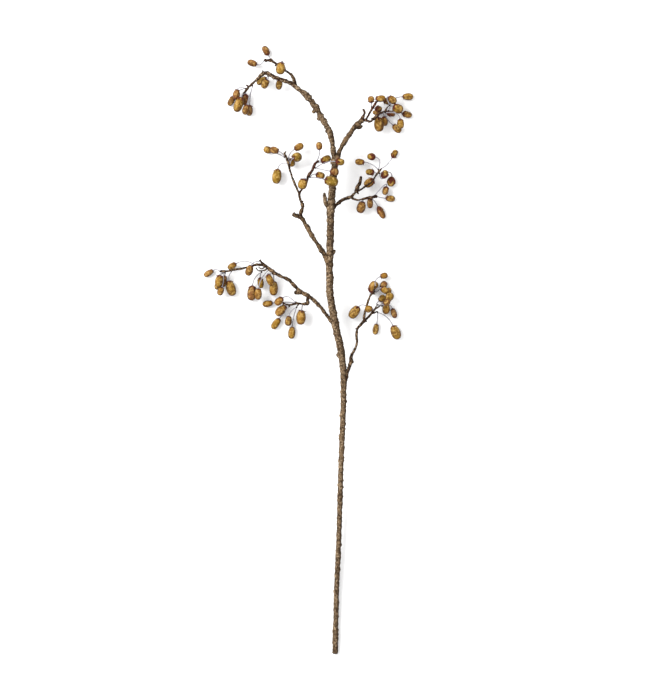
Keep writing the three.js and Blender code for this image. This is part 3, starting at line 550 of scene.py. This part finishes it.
def add_rod(surface, rng, name, stations):
    """One rod of wood: its path, its bark relief, a flared root and a rounded or sawn end."""
    kind = rod_kind(name)
    points, radii, along = rod_path(stations, RING_STEP[kind])
    if "burr" in name:
        radii = np.maximum(radii, 0.8 * radii[0])
    radii = radii * BARK_THICKNESS[kind]
    sides_count = RING_SIDES[kind]
    relief = bark_relief(rng, along, sides_count, radii, kind)
    if name == "trunk":
        relief = relief + knob_relief(points, radii, sides_count)
    flare = 0.0 if name == "trunk" else 0.32 * np.exp(-along / (1.6 * radii[0]))
    left = np.clip((along[-1] - along) / (0.8 * radii[-1]), 0, 1)
    round_end = np.sqrt(1 - (1 - left) ** 2)
    reach = (radii * (1 + flare) * round_end)[:, None] * (1 + relief)
    rings = tube_rings(points, np.maximum(reach, 0.02), sides_count)
    poles = np.array([points[0], points[-1]])
    age = np.full(len(along), WOOD_AGE.get(name, YOUNG_AGE))
    if name == "arch":
        age = np.interp(along, [0, 110, 160, 200], [1.0, 0.85, 0.2, 0.0])
    cut = np.zeros(len(along))
    if name == "trunk":
        rings, poles[0], relief, age, cut = sawn_end(points, rings, along, relief, age)
    # painted shade: how far each point of the bark turns from the light, stored for the bark to darken
    outward = unit(rings - rings.mean(axis=1, keepdims=True))
    shaded = flank(outward, WOOD_LIGHT_SIDE)
    blush = WOOD_BLUSH.get(name, 0.0)
    surface.add(rings, poles, relief=relief, age=age[:, None], cut=cut[:, None], flank=shaded,
                blush=blush)


def add_bud(surface, rng, middle, outward, radius):
    """A bud: a ball drawn out to a blunt point, r = sin(a)^0.8 round an axis of cos(a), ribbed by scales."""
    angle = np.linspace(0.06, math.pi - 0.06, 10)
    axis_points = middle + outward * (-1.25 * radius * np.cos(angle))[:, None]
    scales = 1 + 0.1 * soft_noise(rng, np.arange(10.0), np.arange(12) / 12, 2.0, 5)
    rings = tube_rings(axis_points, (radius * np.sin(angle) ** 0.8)[:, None] * scales, 12)
    relief = scales * 2 - 2.1
    # buds carry an even painted shade of 0.6 all over
    surface.add(rings, axis_points[[0, -1]], relief=relief, age=0.0, cut=0.0, flank=0.6, blush=0.5)


def add_tip_buds(surface, rng, stations):
    """Three buds crowded on the tip of a twig, splayed about its own line."""
    points, radii, _ = rod_path(stations, 0.6)
    line = unit(points[-1] - points[-4])
    for _ in range(3):
        splay = unit(line + 0.7 * unit(rng.normal(size=3)))
        back = rng.integers(2, 6)
        add_bud(surface, rng, points[-back] + splay * 0.9, splay, rng.uniform(0.85, 1.15) * radii[-1])


# ---- hips ----
def hip_direction(heading, pitch):
    """The way from the stalk to the free end: heading is counted from +X towards +Y, pitch upwards."""
    turn, rise = math.radians(heading), math.radians(pitch)
    flat = math.cos(rise)
    return np.array([math.cos(turn) * flat, math.sin(turn) * flat, math.sin(rise)])


def side_axes(direction):
    """Two directions square to a direction, the first of them level."""
    level = unit(np.cross([0.0, 0.0, 1.0], direction))
    return level, np.cross(direction, level)


def add_hip(surface, rng, hip, tone):
    """A hip: an egg of revolution with x = -L/2 cos(a) and r = W/2 sin(a)^0.8 (1 - 0.05 cos a).

    It is a little fuller towards its free end and slightly bowed, with shallow lengthwise folds, slight
    lumps and a small pit round its apex.
    """
    x, y, z, length, width, heading, pitch = hip
    direction = hip_direction(heading, pitch)
    level, up = side_axes(direction)
    a = np.linspace(0.05, math.pi - 0.05, HIP_RINGS)
    around = np.arange(HIP_SIDES) / HIP_SIDES
    angle = around * 2 * np.pi
    profile = np.sin(a) ** 0.8 * (1 - 0.05 * np.cos(a))
    profile = profile / profile.max()
    apex = np.exp(-((math.pi - a) / 0.34) ** 2)
    folds = soft_noise(rng, a * 2, around, 3.2, 7) * 0.02 + soft_noise(rng, a * 2, around, 1.1, 12) * 0.011
    lumps = soft_noise(rng, a * 2, around, 2.0, 3) * 0.03
    reach = width / 2 * profile[:, None] * (1.03 + folds + lumps * np.sin(a)[:, None])
    axial = -length / 2 * np.cos(a) - 0.035 * length * apex * np.linspace(1, 0.2, HIP_RINGS)
    bow = 0.02 * length * np.cos(2 * a)
    axis_points = np.array([x, y, z]) + direction * axial[:, None] + up * (bow - bow.mean())[:, None] * 0.5
    out = level * np.cos(angle)[:, None] + up * np.sin(angle)[:, None]
    rings = axis_points[:, None] + out[None] * reach[..., None]
    patch = soft_noise(rng, a * 2, around, 2.4, 3)
    share = np.linspace(0, 1, HIP_RINGS)[:, None]
    # the skin's normals, for painted shade on the sides turned from the light
    across = out[None] * (np.sin(a) / width)[:, None, None]
    normals = unit(across - direction * (np.cos(a) / length)[:, None, None])
    surface.add(rings, axis_points[[0, -1]], tone=tone, share=share, folds=folds * 30, patch=patch,
                flank=flank(normals, HIP_LIGHT_SIDE))


def add_calyx(surface, rng, hip, size):
    """A calyx: a thin star of five sepals that hugs the stalk end of its hip.

    At angle u round the axis and share v from the stalk to the rim, it lies on the hip's own ellipse at
    the angle a = v size (0.62 + 0.38 lobe(u)), where lobe is (0.5 + 0.5 cos 5u)^1.3 and every sepal has
    its own length. Its tips lift off the skin by the square of v and curl back by its cube.
    """
    x, y, z, length, width, heading, pitch = hip
    direction = hip_direction(heading, pitch)
    level, up = side_axes(direction)
    turn = rng.uniform(0, 2 * math.pi)
    angle = np.linspace(0, 2 * np.pi, CALYX_SIDES, endpoint=False)
    lobe = (0.5 + 0.5 * np.cos(SEPALS * angle)) ** 1.3
    sepal = np.round(angle * SEPALS / (2 * np.pi)).astype(int) % SEPALS
    own_length = rng.uniform(0.75, 1.25, SEPALS)[sepal]
    own_lift = rng.uniform(0.2, 1.0, SEPALS)[sepal]
    v = np.linspace(0.06, 1, CALYX_RINGS)[:, None]
    a = v * size * (0.62 + 0.38 * lobe * own_length)[None, :]
    ribs = 0.16 * np.cos(SEPALS * 2 * angle)[None, :] * v
    lift = v**2 * lobe * own_lift * width * (0.07 + 0.07 * size)
    curl = v**3 * lobe * own_lift * width * rng.uniform(0.0, 0.22)
    tip = rng.uniform(-1, 1, SEPALS)[sepal] * 0.12 * lobe * v**2
    shells = []
    for offset in (SEPAL_THICKNESS, -0.25):
        axial = -(length / 2 + offset) * np.cos(a) - curl
        reach = (width / 2 + offset) * np.sin(a) + lift + ribs * (offset > 0)
        out = level * np.cos(angle + turn + tip)[..., None] + up * np.sin(angle + turn + tip)[..., None]
        shells.append(np.array([x, y, z]) + direction * axial[..., None] + out * reach[..., None])
    rings = np.concatenate([shells[0], shells[1][::-1]])
    poles = np.array([x, y, z]) - direction * np.array([[length / 2 + SEPAL_THICKNESS], [length / 2 - 0.25]])
    edge = np.concatenate([v, v[::-1]]) * np.ones(CALYX_SIDES)
    surface.add(rings, poles, rim=edge)


def stalk_root(rod, along, aim, size):
    """Where a stalk leaves the wood: the axis point, the point just outside the bark and the way out."""
    points, radii, _ = rod_path(rod, 0.5)
    at = int(round(along * (len(points) - 1)))
    outward = aim - points[at]
    if along < 1:
        tangent = unit(np.gradient(points, axis=0)[at])
        outward = outward - tangent * np.dot(outward, tangent)
    outward = unit(outward)
    return points[at], points[at] + outward * (radii[at] + STALK_AIR + size), outward


def add_stalk(surface, rng, axis_point, root, hip):
    """A stalk: a thin tube along a quadratic Bezier from the wood to the hip, arriving along its axis.

    It swells to a bead where it meets the calyx, and its radius wavers by a tenth.
    """
    x, y, z, length, _, heading, pitch = hip
    direction = hip_direction(heading, pitch)
    stalk_end = np.array([x, y, z]) - direction * length / 2
    bend = stalk_end - direction * STALK_REACH * np.linalg.norm(stalk_end - root)
    t = np.linspace(0, 1, 40)[:, None]
    curve = (1 - t) ** 2 * root + 2 * t * (1 - t) * bend + t**2 * (stalk_end + direction)
    points, _, lengths = even_steps(np.vstack([axis_point, curve]), np.zeros(41), 1.0)
    points = even_steps(points, np.zeros(len(points)), lengths[-1] / (STALK_RINGS - 1))[0]
    share = np.linspace(0, 1, len(points))
    left = (1 - share) * lengths[-1]
    waver = 1 + 0.1 * np.interp(share, np.linspace(0, 1, 9), rng.uniform(-1, 1, 9))
    radii = STALK_RADIUS * waver * (1 + 1.5 * np.exp(-(left / 1.6) ** 2))
    surface.add(tube_rings(points, radii, STALK_SIDES), points[[0, -1]], share=share[:, None])


# ---- shader sums ----
class Signal:
    """The output of a node, on which sums are written as Python expressions."""

    def __init__(self, tree, socket):
        self.tree = tree
        self.socket = socket

    @classmethod
    def node(cls, tree, kind, settings, inputs, output=0):
        """Any node: its settings are set first, then the values or links of its sockets."""
        made = tree.nodes.new(kind)
        for name, value in settings.items():
            if name == "stops":
                set_stops(made.color_ramp, value)
            else:
                setattr(made, name, value)
        for name, value in inputs.items():
            if isinstance(value, Signal):
                tree.links.new(value.socket, made.inputs[name])
            else:
                made.inputs[name].default_value = value
        return cls(tree, made.outputs[output]) if len(made.outputs) else made

    def math(self, operation, *values, clamp=False):
        """One sum of a Math node."""
        settings = {"operation": operation, "use_clamp": clamp}
        return Signal.node(self.tree, "ShaderNodeMath", settings, dict(enumerate(values)))

    def __add__(self, other):
        return self.math("ADD", self, other)

    def __sub__(self, other):
        return self.math("SUBTRACT", self, other)

    def __rsub__(self, other):
        return self.math("SUBTRACT", other, self)

    def __mul__(self, other):
        return self.math("MULTIPLY", self, other)

    __radd__ = __add__
    __rmul__ = __mul__

    def clipped(self):
        """This, held between 0 and 1."""
        return self.math("ADD", self, 0.0, clamp=True)

    def between(self, low, high):
        """0 where this is low, 1 where it is high, and a soft step between."""
        settings = {"interpolation_type": "SMOOTHSTEP"}
        inputs = {"Value": self, "From Min": low, "From Max": high}
        return Signal.node(self.tree, "ShaderNodeMapRange", settings, inputs)

    def ramp(self, stops):
        """A colour by this value, from a list of (place, colour)."""
        return Signal.node(self.tree, "ShaderNodeValToRGB", {"stops": stops}, {"Fac": self})


def set_stops(color_ramp, stops):
    """Gives a colour ramp its places and colours."""
    while len(color_ramp.elements) < len(stops):
        color_ramp.elements.new(0.5)
    for element, (place, color) in zip(color_ramp.elements, stops):
        element.position = place
        element.color = color


def shade(red, green, blue):
    """A colour as it looks on a screen, from 0 to 255, as linear light toned down for the studio."""
    parts = [part / 255 for part in (red, green, blue)]
    linear = (part / 12.92 if part <= 0.04045 else ((part + 0.055) / 1.055) ** 2.4 for part in parts)
    return (*(part * STUDIO_DIM for part in linear), 1.0)


def mix(factor, first, second):
    """Two colours mixed by a factor that may vary."""
    settings = {"data_type": "RGBA", "clamp_factor": True}
    return Signal.node(factor.tree, "ShaderNodeMix", settings, {0: factor, 6: first, 7: second}, output=2)


def attribute(tree, name):
    """A value that the surface holds at its points."""
    return Signal.node(tree, "ShaderNodeAttribute", {"attribute_name": name}, {}, output="Fac")


def place(tree):
    """The place of a point on its own piece, in metres."""
    return Signal.node(tree, "ShaderNodeTexCoord", {}, {}, output="Object")


def noise(where, scale, detail=3.0, rough=0.55, warp=0.0):
    """Cloudy noise from 0 to 1. The scale is in cells to the metre."""
    inputs = {"Vector": where, "Scale": scale, "Detail": detail, "Roughness": rough, "Distortion": warp}
    return Signal.node(where.tree, "ShaderNodeTexNoise", {"noise_dimensions": "3D"}, inputs)


def bump(height, distance, strength):
    """The shading of a fine relief: distance, in metres, is the rise of a height of 1."""
    inputs = {"Height": height, "Distance": distance, "Strength": strength}
    return Signal.node(height.tree, "ShaderNodeBump", {}, inputs)


def new_material(name):
    """An empty material: returns it and its node tree, cleared."""
    material = bpy.data.materials.new(name)
    material.use_nodes = True
    material.node_tree.nodes.clear()
    return material, material.node_tree


def finish_material(tree, color, roughness, normal, **constants):
    """The one Principled shader of a material. The constants go straight on its own sockets."""
    inputs = {"Base Color": color, "Roughness": roughness, "Normal": normal}
    inputs.update({name.replace("_", " "): value for name, value in constants.items()})
    shader = Signal.node(tree, "ShaderNodeBsdfPrincipled", {}, inputs)
    Signal.node(tree, "ShaderNodeOutputMaterial", {}, {"Surface": shader})


# ---- materials ----
def bark_material(name, old, young, crevice, fleck):
    """Bark: old wood to young wood by age, dark crevices, blotches, pale flecks, a raw cut end and painted
    shade.
    """
    material, tree = new_material(name)
    where = place(tree)
    relief = attribute(tree, "relief")
    age = attribute(tree, "age")
    cut = attribute(tree, "cut")
    # painted shade: 1 on the side of the rod turned from the light
    side = attribute(tree, "flank")
    blush = attribute(tree, "blush")
    broad = noise(where, 60.0, 4.0, 0.6, 0.4)
    blotch = noise(where, 250.0, 4.0, 0.62, 0.6)
    grain = noise(where, 400.0, 3.0, 0.6, 0.3)
    speck = noise(where, 1100.0, 2.0, 0.5)
    color = mix((age + (broad - 0.5) * 0.9).between(0.1, 0.95), young, old)
    color = mix(blush * 0.75, color, shade(84, 36, 26))
    # dark blotches and crevices, with a touch of painted shade on the side turned from the light
    dark = (blotch - relief * 0.35 + side * 0.06).between(0.47, 0.57)
    color = mix(dark * 0.78, color, crevice)
    # pale flecks on raised bark, fewer where the painted shade lies
    pale = (grain + relief * 0.25 + (broad - 0.5) * 0.2 - side * 0.1).between(0.53, 0.61)
    color = mix(pale * (0.78 - blush * 0.4), color, fleck)
    # dark specks, and painted shade laid on the side turned from the light
    color = mix((speck.between(0.58, 0.76) * 0.35 + side * 0.58).clipped(), color, crevice)
    raw = noise(where, 500.0, 3.0).ramp([(0.3, shade(34, 28, 24)), (0.7, shade(72, 58, 46))])
    color = mix(cut, color, raw)
    height = grain * 0.6 + speck * 0.25 - dark * 0.5
    normal = bump(height, 0.0012, 0.9)
    finish_material(tree, color, 0.7 + grain * 0.25, normal, Specular_IOR_Level=0.1)
    return material


def hip_material():
    """Waxy hip skin: olive through ochre to copper by tone, mottled, browner at both ends; painted light and
    shade.
    """
    material, tree = new_material("hip_skin")
    where = place(tree)
    tone = attribute(tree, "tone")
    share = attribute(tree, "share")
    folds = attribute(tree, "folds")
    patch = attribute(tree, "patch")
    # painted shade: 1 on the sides and underside turned from the light
    side = attribute(tree, "flank")
    cloud = noise(where, 130.0, 4.0, 0.6, 0.5)
    mottle = noise(where, 290.0, 4.0, 0.66, 0.3)
    pore = noise(where, 1900.0, 2.0, 0.5)
    ripe = tone + (cloud - 0.5) * 0.5 + (mottle - 0.5) * 0.5 + patch * 0.09
    color = ripe.ramp([
        (0.0, shade(110, 86, 14)), (0.3, shade(138, 103, 22)), (0.55, shade(138, 96, 27)),
        (0.76, shade(129, 82, 40)), (0.9, shade(112, 65, 34)), (1.0, shade(92, 47, 26)),
    ])
    ends = (1 - share.between(0.0, 0.28)) * 0.8 + share.between(0.84, 1.0) * 0.8
    color = mix((ends + (mottle - 0.5) * 0.8).clipped() * 0.78, color, shade(68, 38, 17))
    scuff = (mottle - folds * 0.24 + (pore - 0.5) * 0.4).between(0.5, 0.6)
    color = mix(scuff * 0.74, color, shade(74, 44, 11))
    # pale spots at random over the skin: partly paler skin, partly a painted highlight
    light = (cloud * 0.5 + (1 - mottle) * 0.7).between(0.57, 0.72)
    color = mix(light * (0.75 - tone * 0.25), color, shade(202, 168, 100))
    # painted highlight on the faces towards the light, mixed with random golden clouds
    painted_highlight = 1 - side.between(0.0, 0.22)
    color = mix((painted_highlight * 0.08 + (cloud - 0.5) * 0.3).clipped(), color, shade(192, 147, 62))
    # painted shade, mottled, on the sides and underside turned from the light
    color = mix((side * (0.88 + (mottle - 0.5) * 0.7)).clipped(), color, shade(62, 29, 5))
    height = mottle * 0.7 + pore * 0.25 + folds * 0.2
    normal = bump(height, 0.0006, 0.6)
    finish_material(tree, color, 0.42 + mottle * 0.24, normal, Specular_IOR_Level=0.14)
    return material


def calyx_material():
    """Dry calyx: dark maroon brown, ribbed, with paler crumbling rims."""
    material, tree = new_material("dry_calyx")
    where = place(tree)
    rim = attribute(tree, "rim")
    cloud = noise(where, 380.0, 4.0, 0.6)
    grain = noise(where, 1500.0, 3.0, 0.6)
    color = cloud.ramp([(0.25, shade(40, 17, 9)), (0.5, shade(82, 34, 20)), (0.75, shade(116, 58, 32))])
    color = mix((rim + (grain - 0.5) * 0.8).between(0.75, 1.15) * 0.6, color, shade(130, 84, 52))
    normal = bump(grain * 0.6 + cloud * 0.8, 0.0008, 0.8)
    finish_material(tree, color, 0.55 + grain * 0.25, normal, Specular_IOR_Level=0.12)
    return material


def stalk_material():
    """Stalks: wiry grey, a little brown at both ends, with fine scratches."""
    material, tree = new_material("grey_stalk")
    where = place(tree)
    share = attribute(tree, "share")
    cloud = noise(where, 260.0, 3.0, 0.6)
    grain = noise(where, 2200.0, 2.0, 0.6)
    color = cloud.ramp([(0.3, shade(118, 115, 121)), (0.7, shade(166, 163, 170))])
    ends = 1 - share.between(0.0, 0.12) + share.between(0.9, 1.0)
    color = mix(ends * 0.75, color, shade(78, 56, 40))
    color = mix(grain.between(0.6, 0.75) * 0.4, color, shade(72, 66, 62))
    finish_material(tree, color, 0.42 + grain * 0.2, bump(grain, 0.0003, 0.5), Specular_IOR_Level=0.5)
    return material


def floor_material():
    """Matt pale paper with a faint tooth."""
    material, tree = new_material("pale_floor")
    where = place(tree)
    tooth = noise(where, 260.0, 3.0)
    color = tooth.ramp([(0.0, (0.89, 0.89, 0.89, 1.0)), (1.0, (0.92, 0.92, 0.92, 1.0))])
    finish_material(tree, color, 0.9, bump(tooth, 0.0001, 0.2), Specular_IOR_Level=0.0)
    return material


# ---- the sprig ----
SPRAYS = ["top_left", "top_right", "mid_left", "mid_right", "lower_left", "lower_right"]
# how far a calyx reaches along its hip, in radians, where its hip is known to differ from the usual
USUAL_REACH = (0.75, 1.0)
CALYX_REACH = {
    "mid_right_1": 1.5, "mid_right_2": 1.9, "mid_right_3": 1.0, "mid_right_4": 1.3, "mid_right_5": 1.9,
    "mid_right_6": 2.2, "mid_right_7": 1.2, "mid_right_8": 1.2, "mid_right_10": 0.9, "mid_right_12": 1.5,
    "mid_left_3": 0.9, "mid_left_4": 0.5, "mid_left_8": 1.2, "mid_left_10": 1.0, "mid_left_13": 1.6,
    "top_right_1": 1.2, "top_right_2": 1.0, "top_right_3": 1.5, "top_right_4": 1.0, "top_right_6": 1.1,
    "top_right_7": 1.3, "top_right_8": 1.8, "top_right_9": 1.7, "top_left_1": 1.1, "top_left_8": 1.2,
    "top_left_10": 1.4, "lower_left_10": 1.2, "lower_right_2": 1.3,
}


def hip_numbers(node):
    """The numbers in a hip node's name, one for each of its hips."""
    return [int(part) for part in node.split("_") if part.isdigit()]


def all_rods():
    """The stations of every rod of wood, by its name."""
    return {name: stations for rods in WOOD.values() for name, stations in rods.items()}


def stalk_roots():
    """For each hip node, the wood's axis point, the point just outside its bark and the way out."""
    rods = all_rods()
    roots = {}
    for node, rod, along, members in HIPS:
        aim = np.mean([member[:3] for member in members], axis=0)
        size = KNOB_RADIUS if len(members) > 1 else STALK_AIR + 0.25
        roots[node] = stalk_root(rods[rod], along, aim, size)
    return roots


def build_wood(roots):
    """One bark piece for each wood node, with the buds that its stalks leave from."""
    old_bark = bark_material("old_bark", shade(110, 89, 66), shade(66, 45, 29), shade(42, 27, 14),
                             shade(172, 149, 120))
    twig_bark = bark_material("twig_bark", shade(106, 84, 60), shade(54, 34, 21), shade(26, 16, 9),
                              shade(150, 124, 94))
    for number, (node, rods) in enumerate(WOOD.items()):
        rng = np.random.default_rng(WOOD_SEED + number)
        surface = Surface()
        for name, stations in rods.items():
            add_rod(surface, rng, name, stations)
        for name, stations in rods.items():
            if rod_kind(name) == "twig":
                add_tip_buds(surface, rng, stations)
        for hip_node, rod, _, members in HIPS:
            if rod in rods:
                _, root, outward = roots[hip_node]
                add_bud(surface, rng, root - outward * 0.6, outward, 1.5 if len(members) > 1 else 0.95)
        is_stem = node == "main_stem"
        piece = surface.piece(node + "_bark", old_bark if is_stem else twig_bark,
                              "bark" if is_stem else "twig")
        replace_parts(piece, node)


def build_hips():
    """One skin piece for each hip node, with its one or two hips."""
    skin = hip_material()
    for number, (node, _, _, members) in enumerate(HIPS):
        rng = np.random.default_rng(HIP_SEED + number)
        surface = Surface()
        for member in members:
            add_hip(surface, rng, member[:7], member[7])
        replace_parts(surface.piece(node + "_skin", skin, "hip"), node)


def build_calyxes_and_stalks(roots):
    """One piece of calyxes and one piece of stalks for each of the six sprays."""
    calyx, stalk = calyx_material(), stalk_material()
    for number, spray in enumerate(SPRAYS):
        rng = np.random.default_rng(SPRAY_SEED + number)
        calyxes, stalks = Surface(), Surface()
        for node, _, _, members in HIPS:
            if not node.startswith(spray):
                continue
            axis_point, root, _ = roots[node]
            for hip_number, member in zip(hip_numbers(node), members):
                size = CALYX_REACH.get(f"{spray}_{hip_number}", rng.uniform(*USUAL_REACH))
                add_calyx(calyxes, rng, member[:7], size)
                add_stalk(stalks, rng, axis_point, root, member[:7])
        calyxes.piece(spray + "_calyxes", calyx, "calyx")
        stalks.piece(spray + "_stalks", stalk, "stalk")


# ---- the studio ----
CAMERA_PLACE = (0.0429, 0.0, 6.0)
FRAME_HEIGHT = 1.155          # what the long side of the view spans at the height of the sprig
SPRIG_HEIGHT = 0.025
SENSOR = 36.0
FLOOR_SIZE = 9.0
SKY_STRENGTH = 1.25
KEY_PLACE = (-3.4, 1.8, 3.8)
KEY_SIZE = 3.0
KEY_POWER = 290.0


def build_key_light():
    """A large round soft light from the upper left, aimed at the middle of the sprig."""
    data = bpy.data.lights.new("key", "AREA")
    data.shape = "DISK"
    data.size = KEY_SIZE
    data.energy = KEY_POWER
    light = bpy.data.objects.new("key", data)
    light.location = KEY_PLACE
    light.rotation_euler = (-Vector(KEY_PLACE)).to_track_quat("-Z", "Y").to_euler()
    bpy.context.scene.collection.objects.link(light)


def build_floor():
    """The pale floor that the sprig lies on."""
    half = FLOOR_SIZE / 2
    mesh = bpy.data.meshes.new("floor")
    mesh.from_pydata([(-half, -half, 0), (half, -half, 0), (half, half, 0), (-half, half, 0)], [],
                     [(0, 1, 2, 3)])
    mesh.materials.append(floor_material())
    floor = bpy.data.objects.new("floor", mesh)
    bpy.context.scene.collection.objects.link(floor)


def build_sky():
    """An even white light from all round, shown without any film look."""
    world = bpy.data.worlds.new("studio")
    world.use_nodes = True
    background = world.node_tree.nodes["Background"]
    background.inputs["Color"].default_value = (1.0, 1.0, 1.0, 1.0)
    background.inputs["Strength"].default_value = SKY_STRENGTH
    bpy.context.scene.world = world
    bpy.context.scene.view_settings.view_transform = "Standard"
    bpy.context.scene.view_settings.look = "None"


def build_camera():
    """A camera high above the sprig that looks straight down."""
    data = bpy.data.cameras.new("camera")
    data.sensor_width = SENSOR
    data.lens = SENSOR * (CAMERA_PLACE[2] - SPRIG_HEIGHT) / FRAME_HEIGHT
    data.clip_end = 30.0
    camera = bpy.data.objects.new("camera", data)
    camera.location = CAMERA_PLACE
    bpy.context.scene.collection.objects.link(camera)
    bpy.context.scene.camera = camera


build_camera()
build_floor()
build_sky()
build_key_light()
stalk_starts = stalk_roots()
build_wood(stalk_starts)
build_hips()
build_calyxes_and_stalks(stalk_starts)
